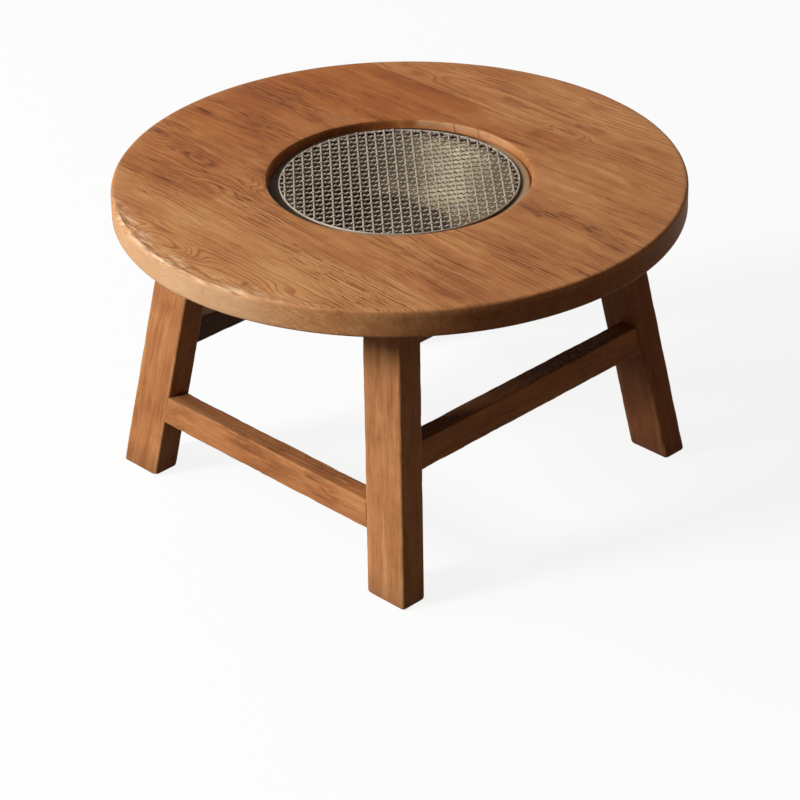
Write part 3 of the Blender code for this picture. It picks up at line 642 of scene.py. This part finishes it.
# Each board: where it lies across the top, where its pith line passes over x = 0 (y, z), how the line
# rises and turns along +X, and how far along it the board was cut
boards = {
    "top_board_front_edge": {
        "span": (None, -0.245), "side": 0, "heart": (-0.405, 0.375), "rise": 0.05, "turn": -0.07, "cut": 2.3,
        "look": {
            "tone": 0.72, "ring": 0.0050, "lateFrom": 0.6, "ringDepth": 0.42, "ringLeast": 0.3,
            "bump": 0.5, "warm": 0.1, "splintered": True,
            "swirls": ((-0.105, -0.361, 0.030, 0.030, 0.2), (-0.058, -0.388, 0.022, 0.014, 0.3),
                       (0.16, -0.352, 0.03, 0.010, 0.36)),
            "stains": ((-0.098, -0.25, 0.02, 0.12), (0.10, -0.28, 0.08, -0.12))}},
    "top_board_front": {
        "span": (-0.245, -0.085), "side": 0, "heart": (0.06, 0.32), "rise": -0.03, "turn": -0.075, "cut": -1.7,
        "look": {
            "tone": 0.61, "ringDepth": 0.36, "warm": 0.5, "warmNone": 0.0,
            "swirls": ((-0.234, -0.140, 0.050, 0.034, 0.14), (-0.16, -0.186, 0.03, 0.012, 0.36)),
            "stains": ((-0.236, -0.144, 0.022, 0.12), (-0.145, -0.222, 0.018, 0.14),
                       (0.26, -0.17, 0.07, 0.12))}},
    "top_board_centre_left": {
        "span": (-0.085, 0.085), "side": -1, "heart": (0.2, 0.30), "rise": 0.02, "turn": -0.02, "cut": 3.1,
        "look": {
            "tone": 0.59, "warm": 0.75, "warmNone": 0.1,
            "stains": ((-0.355, -0.04, 0.018, 0.34), (-0.20, -0.075, 0.02, 0.16))}},
    "top_board_centre_right": {
        "span": (-0.085, 0.085), "side": 1, "heart": (-0.2, 0.31), "rise": -0.02, "turn": -0.06, "cut": -2.9,
        "look": {
            "tone": 0.60, "strokeDepth": 0.48,
            "stains": ((0.348, 0.08, 0.018, 0.2), (0.252, 0.063, 0.012, 0.14))}},
    "top_board_back": {
        "span": (0.085, 0.245), "side": 0, "heart": (0.37, 0.29), "rise": 0.015, "turn": -0.01, "cut": 1.3,
        "look": {"tone": 0.62, "strokeDepth": 0.32, "warm": 1.0, "warmFull": -0.2}},
    "top_board_back_edge": {
        "span": (0.245, None), "side": 0, "heart": (0.283, 0.395), "rise": 0.03, "turn": 0.01, "cut": -3.7,
        "look": {
            "tone": 0.68, "strokeDepth": 0.26, "ring": 0.0056, "ringDepth": 0.30, "ringLeast": 0.3,
            "warm": 0.4, "warmNone": 0.1, "warmFull": -0.2,
            "swirls": ((0.05, 0.358, 0.03, 0.010, 0.36), (0.075, 0.268, 0.022, 0.013, 0.36),
                       (-0.226, 0.27, 0.02, 0.006, 0.36)),
            "stains": ((0.05, 0.358, 0.018, 0.14), (-0.226, 0.27, 0.012, 0.2), (-0.105, 0.367, 0.02, 0.16))}},
}
for number, (node, board) in enumerate(boards.items(), start=1):
    heartY, heartZ = board["heart"]
    heartY += math.tan(board["turn"]) * board["cut"]
    heartZ += math.tan(board["rise"]) * board["cut"]
    slant = (0.0, -board["rise"], board["turn"])
    look = {**elm, **board["look"]}
    material = elmMaterial(f"oiledElmBoard{number}", (board["cut"], heartY, heartZ), slant, look)
    makeBoard(node, board["span"][0], board["span"][1], board["side"], material)
print("top boards made")


# Legs, stretchers and battens: sawn stock with edges worn round and a little wavy
under = {
    "legWidth": 0.0695, "legDepth": 0.041, "legTop": 0.3877,
    "footX": 0.2888, "footY": 0.2918, "headX": 0.23055, "headY": 0.2333, "headZ": 0.400,
    "legRound": {"leg_front_left": 0.0035, "leg_front_right": 0.0032,
                 "leg_back_left": 0.0035, "leg_back_right": 0.0055},
    "feet": {  # each corner by its side along X and Y: how far in it is worn, and how high
        "leg_front_left": {(-1, -1): (0.008, 0.006), (1, -1): (0.014, 0.006),
                           (-1, 1): (0.007, 0.005), (1, 1): (0.009, 0.007)},
        "leg_front_right": {(-1, -1): (0.010, 0.009), (1, -1): (0.012, 0.004),
                            (-1, 1): (0.007, 0.005), (1, 1): (0.010, 0.008)},
        "leg_back_left": {(-1, -1): (0.007, 0.005), (1, -1): (0.008, 0.006),
                          (-1, 1): (0.010, 0.006), (1, 1): (0.006, 0.004)},
        "leg_back_right": {(-1, -1): (0.007, 0.004), (1, -1): (0.014, 0.006),
                           (-1, 1): (0.007, 0.005), (1, 1): (0.010, 0.008)},
    },
    "footCuts": (0.0015, 0.003, 0.005, 0.0075, 0.010, 0.014), "footDirt": 0.35, "footDirtTo": 0.05,
    "railHeight": 0.0403, "railThick": 0.030, "railRound": 0.0024, "railLong": 0.45, "railSeat": 0.0015,
    "endRails": {-1: 0.0895, 1: 0.264}, "sideRail": 0.177, "sideInset": 0.006,
    # dirt and painted shade on the stretchers' upper faces, under the top and beside the legs
    "endDirtAndShade": (0.45, 0.12), "sideDirtAndShade": (0.6, 0.6),
    "battenX": 0.1958, "battenWidth": 0.042, "battenLow": 0.388, "battenEnd": 0.2615, "battenRound": 0.003,
    "battenGap": 0.0003, "battenLong": 0.52,
    "wander": 0.0008, "railWander": 0.0012, "battenWander": 0.00056,  # how far the faces are from flat
    "legHeart": (0.33, 0.21), "legCut": 1.9, "railCut": 1.7,  # where the pith lies, and how far apart cut
    "endHeart": (0.24, 0.05), "sideHeart": (0.22, 0.14), "battenHeart": (0.17, 0.33),
    "endSlant": (0.0, 0.01, 0.012), "sideSlant": (0.0, 0.01, math.radians(90.6)),
    "battenSlant": (0.0, 0.01, math.radians(89.3)),
    "piece": 0.007, "seed": 3.7, "sharp": 50,
}
stickWaves = {"flat": (22, 9), "corner": (30, 34), "fine": (60, 95)}  # turns per metre across and along


def legX(z):
    return under["footX"] + (under["headX"] - under["footX"]) * z / under["headZ"]


def legY(z):
    return under["footY"] + (under["headY"] - under["footY"]) * z / under["headZ"]


# A worn stick along local Z from 0 to its length, before it is set in place. feet says how far the
# corners of its lower end are worn round, metres how long its length will be once placed
def stick(width, depth, length, rounding, seed, wander, feet=None, metres=1.0):
    bm = bmesh.new()
    bmesh.ops.create_cube(bm, size=1.0)
    bmesh.ops.scale(bm, verts=bm.verts, vec=(width, depth, length))
    bmesh.ops.translate(bm, verts=bm.verts, vec=(0, 0, length / 2))
    bmesh.ops.bevel(bm, geom=bm.edges[:], offset=rounding, segments=4, profile=0.5, affect="EDGES",
                    material=-1)
    inside = rounding + 0.0015
    for at in (-width / 2 + inside, -width / 6, width / 6, width / 2 - inside):
        cutAcross(bm, (at, 0, 0), (1, 0, 0))
    for at in (-depth / 2 + inside, 0.0, depth / 2 - inside):
        cutAcross(bm, (0, at, 0), (0, 1, 0))
    for size in under["footCuts"] if feet else ():
        for side in (-1, 1):
            for axis, half in ((Vector((1, 0, 0)), width / 2), (Vector((0, 1, 0)), depth / 2)):
                cutAcross(bm, axis * side * (half - size), axis)
        cutAcross(bm, (0, 0, size), (0, 0, 1))
    cuts = int(length / under["piece"])
    for step in range(1, cuts):
        cutAcross(bm, (0, 0, length * step / cuts), (0, 0, 1))
    marks = bm.verts.layers.float_color.new("surface")
    bm.normal_update()
    edgeFrom, edgeFull = 2 - 3.2 * rounding / depth, 2 - 0.6 * rounding / depth
    flatAcross, flatAlong = stickWaves["flat"]
    cornerAcross, cornerAlong = stickWaves["corner"]
    fineAcross, fineAlong = stickWaves["fine"]
    for vert in bm.verts:
        x, y, z = vert.co
        up = z * metres
        edge = smooth(abs(x) / (width / 2) + abs(y) / (depth / 2), edgeFrom, edgeFull)
        flat = wavy(x * flatAcross + seed, y * flatAcross, up * flatAlong)
        corner = wavy(x * cornerAcross, y * cornerAcross + seed, up * cornerAlong)
        corner += 0.5 * wavy(x * fineAcross, seed - y * fineAcross, up * fineAlong)
        inward = wander * (0.35 * flat + edge * max(corner, -0.1))
        vert.co -= vert.normal * inward
        vert[marks] = (0.15 + 0.85 * edge * (0.6 + 0.5 * corner), 0.0, 0.0, 1.0)
        for (sideX, sideY), (reach, lift) in (feet or {}).items():
            away = max(width / 2 - sideX * x, depth / 2 - sideY * y, 0.0)
            if away < reach:
                vert.co.z = max(vert.co.z, lift * (1 - math.sqrt(1 - (1 - away / reach) ** 2)))
    return bm, marks


# Adds darkening to the wear marks of a stick, by a function of the point: dirt at the feet, dirt and painted
# shade on the stretchers
def soil(bm, marks, darkeningAt):
    for vert in bm.verts:
        rubbed, bare, grimeAndShade, torn = vert[marks]
        vert[marks] = (rubbed, bare, max(grimeAndShade, darkeningAt(vert.co)), torn)


def footDirt(point):
    return under["footDirt"] * (1 - smooth(point.z, 0.0, under["footDirtTo"]))


# A stretcher darker on its upper face, as much as first and last say at its two ends: dirt, and painted shade
# where the top and the legs keep the light off
def rail(seed, first, last):
    bm, marks = stick(under["railThick"], under["railHeight"], 1.0, under["railRound"],
                      seed * under["seed"], under["railWander"], metres=under["railLong"])
    face = under["railHeight"] / 2

    def darkeningAt(point):
        dirtAndShade = last + (first - last) * (1 - smooth(point.z, 0.05, 0.6))
        return dirtAndShade * smooth(point.y, face - 0.002, face - 0.0003)

    soil(bm, marks, darkeningAt)
    return bm


def placed(bm, spot, *sides):
    for vert in bm.verts:
        vert.co = spot(*vert.co, *sides)
    bmesh.ops.recalc_face_normals(bm, faces=bm.faces)


def legSpot(x, y, z, sideX, sideY):
    return (sideX * (legX(z) - under["legWidth"] / 2) + x, sideY * (legY(z) - under["legDepth"] / 2) + y, z)


def endSpot(x, y, z, sideY):
    height = under["endRails"][sideY] + under["railHeight"] / 2 + y
    reach = legX(height) - under["legWidth"] + under["railSeat"]
    return ((2 * z - 1) * reach, sideY * (legY(height) - under["railThick"] / 2) + x, height)


def sideSpot(x, y, z, sideX):
    height = under["sideRail"] + under["railHeight"] / 2 + y
    reach = legY(height) - under["legDepth"] + under["railSeat"]
    middle = legX(height) - under["sideInset"] - under["railThick"] / 2
    return (sideX * middle + x, (2 * z - 1) * reach, height)


battenHeight = top["under"] - under["battenLow"]


def battenSpot(x, y, z, sideX):
    height = under["battenLow"] + under["battenGap"] + battenHeight / 2 + y
    return (sideX * under["battenX"] + x, (2 * z - 1) * under["battenEnd"], height)


def newStick(node, bm, material):
    newPiece(f"elm_{node}", bm, material, "table", (node,), under["sharp"])


legLook = {
    **elm, "palette": palettes["leg"], "ring": 0.0052, "ringDepth": 0.07, "edgeRings": 1.0,
    "strokeDepth": 0.15, "glintDepth": 0.18, "streakDepth": 0.75, "fibreDepth": 0.10, "blotchDepth": 0.75,
    "waver": 0.035, "rubbing": 0.75, "rubbed": "#c2905f", "warm": 0.0,
}
railLook = {**legLook, "tone": 0.53, "ringDepth": 0.20, "strokeDepth": 0.28, "rubbing": 0.9}
# the left stretcher's darkest palette is painted shade: it lies in the top's shadow
stickPalettes = {"leg_front_right": "goldenLeg", "leg_back_right": "redLeg", "stretcher_left": "paintedShadeRail"}
endStains = {-1: ((-0.01, -0.285, 0.04, 0.2), (0.13, -0.285, 0.02, 0.12)), 1: ()}
sideNames = {-1: "left", 1: "right"}
endNames = {-1: "front", 1: "back"}
u = under
seed = 0
for sideX in (-1, 1):
    for sideY in (-1, 1):
        seed += 1
        node = f"leg_{endNames[sideY]}_{sideNames[sideX]}"
        bm, marks = stick(u["legWidth"], u["legDepth"], u["legTop"], u["legRound"][node],
                          seed * u["seed"], u["wander"], u["feet"][node])
        placed(bm, legSpot, sideX, sideY)
        soil(bm, marks, footDirt)
        # the grain follows the leg: its own X runs up the leg
        slopeX = (u["headX"] - u["footX"]) / u["headZ"] * sideX
        slopeY = (u["headY"] - u["footY"]) / u["headZ"] * sideY
        slant = Vector((slopeX, slopeY, 1.0)).to_track_quat("X", "Y").to_euler()
        cut = u["legCut"] * seed
        heartX, heartY = u["legHeart"]
        pith = (sideX * heartX + slopeX * cut, sideY * heartY + slopeY * cut, cut)
        look = {**legLook, "palette": palettes[stickPalettes.get(node, "leg")]}
        newStick(node, bm, elmMaterial(f"oiledElmLeg{seed}", pith, tuple(slant), look))
for sideY in (-1, 1):
    seed += 1
    node = f"stretcher_{endNames[sideY]}"
    bm = rail(seed, *u["endDirtAndShade"])
    placed(bm, endSpot, sideY)
    pith = (u["railCut"] * seed, sideY * u["endHeart"][0], u["endHeart"][1])
    look = {**railLook, "stains": endStains[sideY]}
    newStick(node, bm, elmMaterial(f"oiledElmEndRail{seed}", pith, u["endSlant"], look))
for sideX in (-1, 1):
    seed += 1
    node = f"stretcher_{sideNames[sideX]}"
    bm = rail(seed, *u["sideDirtAndShade"])
    placed(bm, sideSpot, sideX)
    pith = (sideX * u["sideHeart"][0], u["railCut"] * seed, u["sideHeart"][1])
    look = {**railLook, "palette": palettes[stickPalettes.get(node, "leg")]}
    newStick(node, bm, elmMaterial(f"oiledElmSideRail{seed}", pith, u["sideSlant"], look))
for sideX in (-1, 1):
    seed += 1
    node = f"batten_{sideNames[sideX]}"
    bm, marks = stick(u["battenWidth"], battenHeight, 1.0, u["battenRound"], seed * u["seed"],
                      u["battenWander"], metres=u["battenLong"])
    placed(bm, battenSpot, sideX)
    pith = (sideX * u["battenHeart"][0], u["railCut"] * seed, u["battenHeart"][1])
    newStick(node, bm, elmMaterial(f"oiledElmBatten{seed}", pith, u["battenSlant"], railLook))
print("legs, stretchers and battens made")


# Fire bowl: pressed stainless sheet, spun smooth, with a hemmed flange
bowl = {
    "flange": 0.1815, "flangeZ": 0.4408, "flangeFlat": 0.008, "hem": 0.0009, "sheet": 0.0009,
    "mouth": 0.158, "taper": 0.033, "depth": 0.085, "lip": 0.005, "lipFlat": 0.004, "corner": 0.035,
    "steps": 160, "sharp": 40,
    # the darker steel paints shade; the soot colour paints soot and painted shade
    "steel": "#d0c29f", "darkSteel": "#84765a", "flangeSteel": "#ac9170", "sootAndShade": "#21170f",
    "metal": 0.30, "rough": (0.49, 0.65), "shine": 0.04, "bump": 0.15, "bumpDepth": 0.0002,
    "spinLines": 0.9, "clouds": 42,  # both in mm
    "rim": (0.155, 0.163),  # radii between which the wall turns into the flange
    # painted shade: the steel darker towards +X, which moves the lit part of the bowl to the left
    "cloudy": 0.12, "paintedShadeRight": (-0.05, 0.07, 1.0),  # from and to along X, and how much of it
    # painted shade on the left of the bowl, and painted shadow on the flange's left part
    "paintedShadowFlange": (0.03, -0.07, 0.9), "paintedShadeLeft": (-0.05, -0.13, 0.7),
    # soot on the floor, its edge drawn along the edge of the shade: soot and painted shade
    "sootAndShadeFloor": (-0.035, -0.012, 0.102, 0.119, 0.85), "unevenEdge": 0.03,  # x, y, radii, how much
    # painted shadow in a ring round the hoop
    "paintedShadowRing": (0.1732, 0.1698, 0.85),  # radii, how much
}


# Stainless sheet, spun on a lathe: fine rings and a dull shine; soot on the floor. Painted shade: darker steel
# to +X, dark on the left, on the flange's left part and in a ring round the hoop; where it is dark, the metal
# loses most of its mirror
def spunSteel(name, look):
    material, add = newMaterial(name)
    point = add("TexCoord", output="Object")
    flat = add("VectorMath", times, (point, (1, 1, 0)))
    radius = add("VectorMath", lengthOf, (flat,), "Value")
    place = add("SeparateXYZ", None, (point,), None)
    travel = add("Math", minus, (radius, place.outputs["Z"]))
    travel = add("Math", times, (travel, 1000 / look["spinLines"]))
    rings = add("TexNoise", alongLine, {"W": travel, "Scale": 1, "Detail": 3}, "Fac")
    inputs = {"Vector": point, "Scale": 1000 / look["clouds"], "Detail": 3}
    cloud = add("TexNoise", None, inputs, "Fac")
    # painted shade towards +X, and on the left of the bowl and of the flange
    side = add("Math", timesPlus, (cloud, look["cloudy"], place.outputs["X"]))
    outer = add("MapRange", None, (radius,) + look["rim"] + (0, 1))
    middle = look["cloudy"] / 2
    reach = {}
    for mask in ("paintedShadeRight", "paintedShadowFlange", "paintedShadeLeft"):
        first, last, most = look[mask]
        reach[mask] = add("MapRange", eased, (side, first + middle, last + middle, 0, most))
    tone = add("Math", {**minus, "use_clamp": True}, (reach["paintedShadeRight"], outer))
    colour = add("Mix", mixed, {0: tone, 6: linear(look["steel"]), 7: linear(look["darkSteel"])}, 2)
    colour = add("Mix", mixed, {0: outer, 6: colour, 7: linear(look["flangeSteel"])}, 2)

    # soot on the floor where the charcoal lies, with painted shade along its edge; painted shadow on the
    # flange's left part
    x, y, near, far, most = look["sootAndShadeFloor"]
    spot = add("Mapping", None, {"Vector": point, "Location": (-x, -y, 0), "Scale": (1, 1, 0)})
    away = add("VectorMath", lengthOf, (spot,), "Value")
    away = add("Math", timesPlus, (cloud, look["unevenEdge"], away))
    middle = look["unevenEdge"] / 2
    sootAndShade = add("MapRange", eased, (away, near + middle, far + middle, most, 0))
    rim = add("Math", times, (reach["paintedShadowFlange"], outer))
    # and painted shadow in a ring round the hoop, where the hoop's shadow falls
    first, last, most = look["paintedShadowRing"]
    ring = add("MapRange", eased, (radius, first, last, 0, most))
    ring = add("Math", times, (ring, outer))
    # painted shade and shadow added to the floor's soot
    for patch in (rim, ring, reach["paintedShadeLeft"]):
        sootAndShade = add("Math", larger, (sootAndShade, patch))
    # the dark colour paints soot and painted shade
    colour = add("Mix", mixed, {0: sootAndShade, 6: colour, 7: linear(look["sootAndShade"])}, 2)
    rough = add("MapRange", None, (cloud, 0.3, 0.7) + look["rough"])
    bump = add("Bump", None, {"Strength": look["bump"], "Distance": look["bumpDepth"], "Height": rings})
    metal = add("MapRange", None, (sootAndShade, 0, 1, look["metal"], 0))
    surface = add("BsdfPrincipled", None, {
        "Base Color": colour, "Metallic": metal, "Roughness": rough, "Normal": bump,
        "Specular IOR Level": look["shine"]})
    add("OutputMaterial", None, {"Surface": surface}, None)
    return material


b = bowl
slope = math.degrees(math.atan2(b["taper"], b["depth"]))
lowZ = b["flangeZ"] - b["depth"]
floorEdge = b["mouth"] - b["taper"] - b["corner"] * math.tan(math.radians((90 - slope) / 2))
lipR = b["mouth"] + b["lip"]
outline = arc(b["flange"] - b["hem"], b["flangeZ"] - b["hem"], b["hem"], -90, 90, 5)
outline += [(b["flange"] - b["flangeFlat"], b["flangeZ"]), (lipR + b["lipFlat"], b["flangeZ"])]
outline += arc(lipR, b["flangeZ"] - b["lip"], b["lip"], 90, 180 - slope, 6)
outline += arc(floorEdge, lowZ + b["corner"], b["corner"], -slope, -90, 12)
outline += [(floorEdge * share, lowZ) for share in (0.66, 0.33, 0.0)]
bm = turned(outline, b["steps"], closed=False)
highest = max(bm.faces, key=lambda face: face.calc_center_median().z)
if highest.normal.z < 0:
    bmesh.ops.reverse_faces(bm, faces=bm.faces)
bmesh.ops.solidify(bm, geom=bm.faces[:], thickness=b["sheet"])
bmesh.ops.recalc_face_normals(bm, faces=bm.faces)
steel = spunSteel("spunStainlessSheet", b)
newPiece("spun_fire_bowl", bm, steel, "bowl", ("fire_bowl",), b["sharp"])
print("fire bowl made")


# Grill: a hoop folded over the edge of a plain weave of crimped wire
grill = {
    "radius": 0.1680, "low": 0.4411, "high": 0.4447, "hoop": 0.0022, "hoopRound": 0.00105, "steps": 160,
    "net": 0.1668, "rise": 0.0009, "edge": 0.002,
    # each set of wires: its turn in degrees, the wires' spacing, where the first lies, how thick they are
    "lines": ((57.6, 0.0133, 0.35, 0.0030), (137.5, 0.01313, 0.15, 0.0026)),
    "ripple": 0.0009, "piecesPerGap": 12, "sides": 6, "hoopSharp": 50, "wireSharp": 60,
    "steel": "#b9ad9e", "darkSteel": "#9d9183", "metal": 0.2, "rough": (0.45, 0.62),
    "bump": 0.12, "bumpDepth": 0.0001, "clouds": 16.7, "drawLines": 0.7,  # clouds and lines in mm
}


# Drawn stainless wire, crimped in rollers: fine lines along it and a soft grey shine under a film of fat
def wireSteel(name, look):
    material, add = newMaterial(name)
    point = add("TexCoord", output="Object")
    inputs = {"Vector": point, "Scale": 1000 / look["clouds"], "Detail": 3}
    cloud = add("TexNoise", None, inputs, "Fac")
    inputs = {"Vector": point, "Scale": 1000 / look["drawLines"], "Detail": 2}
    fine = add("TexNoise", None, inputs, "Fac")
    tone = add("MapRange", None, (cloud, 0.35, 0.7, 0, 1))
    colour = add("Mix", mixed, {0: tone, 6: linear(look["steel"]), 7: linear(look["darkSteel"])}, 2)
    rough = add("MapRange", None, (cloud, 0.3, 0.7) + look["rough"])
    bump = add("Bump", None, {"Strength": look["bump"], "Distance": look["bumpDepth"], "Height": fine})
    surface = add("BsdfPrincipled", None, {
        "Base Color": colour, "Metallic": look["metal"], "Roughness": rough, "Normal": bump})
    add("OutputMaterial", None, {"Surface": surface}, None)
    return material


g = grill
wireMaterial = wireSteel("crimpedSteelWire", g)
inner = g["radius"] - g["hoop"]
corners = ((inner, g["low"]), (g["radius"], g["low"]), (g["radius"], g["high"]), (inner, g["high"]))
bm = turned(corners, g["steps"])
hoops = []
for edge in bm.edges:
    first, last = (vert.co for vert in edge.verts)
    if abs(first.z - last.z) < 1e-6 and abs(first.xy.length - last.xy.length) < 1e-6:
        hoops.append(edge)
bmesh.ops.bevel(bm, geom=hoops, offset=g["hoopRound"], segments=4, profile=0.5, affect="EDGES", material=-1)
newPiece("folded_grill_hoop", bm, wireMaterial, "grill", ("grill_rim",), g["hoopSharp"])

bm = bmesh.new()
midZ = (g["low"] + g["high"]) / 2 + g["rise"]
turns = [math.radians(line[0]) for line in g["lines"]]
ways = [Vector((math.cos(turn), math.sin(turn), 0)) for turn in turns]
acrosses = [Vector((-way.y, way.x, 0)) for way in ways]
for family in (0, 1):
    way = ways[family]
    across = acrosses[family]
    pitch, start, thick = g["lines"][family][1:]
    otherPitch, otherStart, otherThick = g["lines"][1 - family][1:]
    otherAcross = acrosses[1 - family]
    count = int(g["net"] / pitch) + 1
    for index in range(-count, count + 1):
        off = (index + start) * pitch
        if abs(off) > g["net"] - g["edge"]:
            continue
        half = math.sqrt(g["net"] ** 2 - off ** 2)
        wire = bmesh.new()
        bmesh.ops.create_cone(wire, cap_ends=True, segments=g["sides"], radius1=thick / 2,
                              radius2=thick / 2, depth=2 * half)
        long = [edge for edge in wire.edges if abs(edge.verts[0].co.z - edge.verts[1].co.z) > half]
        cuts = max(4, int(2 * half / otherPitch * g["piecesPerGap"]))
        bmesh.ops.subdivide_edges(wire, edges=long, cuts=cuts, use_grid_fill=False)
        for vert in wire.verts:
            x, y, z = vert.co
            spot = way * z + across * off
            crossing = spot.dot(otherAcross) / otherPitch - otherStart
            # over and under in turn, with a ripple in between: the wires touch where they cross
            swing = math.cos(math.pi * (crossing + index))
            ripple = math.cos(math.pi * (3 * crossing + index)) - swing
            lift = swing * otherThick / 2 + ripple * g["ripple"]
            lift *= 1 if family == 0 else -1
            vert.co = spot + across * x + Vector((0, 0, midZ + y + lift))
        mesh = bpy.data.meshes.new("wire")
        wire.to_mesh(mesh)
        wire.free()
        bm.from_mesh(mesh)
        bpy.data.meshes.remove(mesh)
bmesh.ops.recalc_face_normals(bm, faces=bm.faces)
newPiece("woven_wire_net", bm, wireMaterial, "grill", ("grill_net",), g["wireSharp"])
print("grill made")


# Turned elm pegs and dowels, cut across: small rings on their ends
pegLook = {**elm, "palette": palettes["peg"], "ring": 0.0016, "waver": 0.002}
pegMaterial = elmMaterial("turnedElmPeg", (0.0, 0.0, 0.0), (0.0, 0.0, 0.3), pegLook)

# Zinc-plated steel screws: a grey, slightly cloudy shine
screw = {"zinc": "#8a8678", "dull": "#5e5a50", "rough": (0.3, 0.55), "clouds": 1.4}  # clouds in mm
screwMaterial, add = newMaterial("zincPlatedScrew")
point = add("TexCoord", output="Object")
cloud = add("TexNoise", None, {"Vector": point, "Scale": 1000 / screw["clouds"], "Detail": 3}, "Fac")
colour = add("Mix", mixed, {0: cloud, 6: linear(screw["zinc"]), 7: linear(screw["dull"])}, 2)
rough = add("MapRange", None, (cloud, 0, 1) + screw["rough"])
surface = add("BsdfPrincipled", None, {"Base Color": colour, "Metallic": 1.0, "Roughness": rough})
add("OutputMaterial", None, {"Surface": surface}, None)
for name, node in cadNodes.items():
    if "peg" in name or "dowel" in name:
        node.data.materials.clear()
        node.data.materials.append(pegMaterial)
    elif "screw" in name:
        node.data.materials.clear()
        node.data.materials.append(screwMaterial)
print("pegs, dowels and screws finished")

bpy.context.scene.view_settings.view_transform = "Standard"
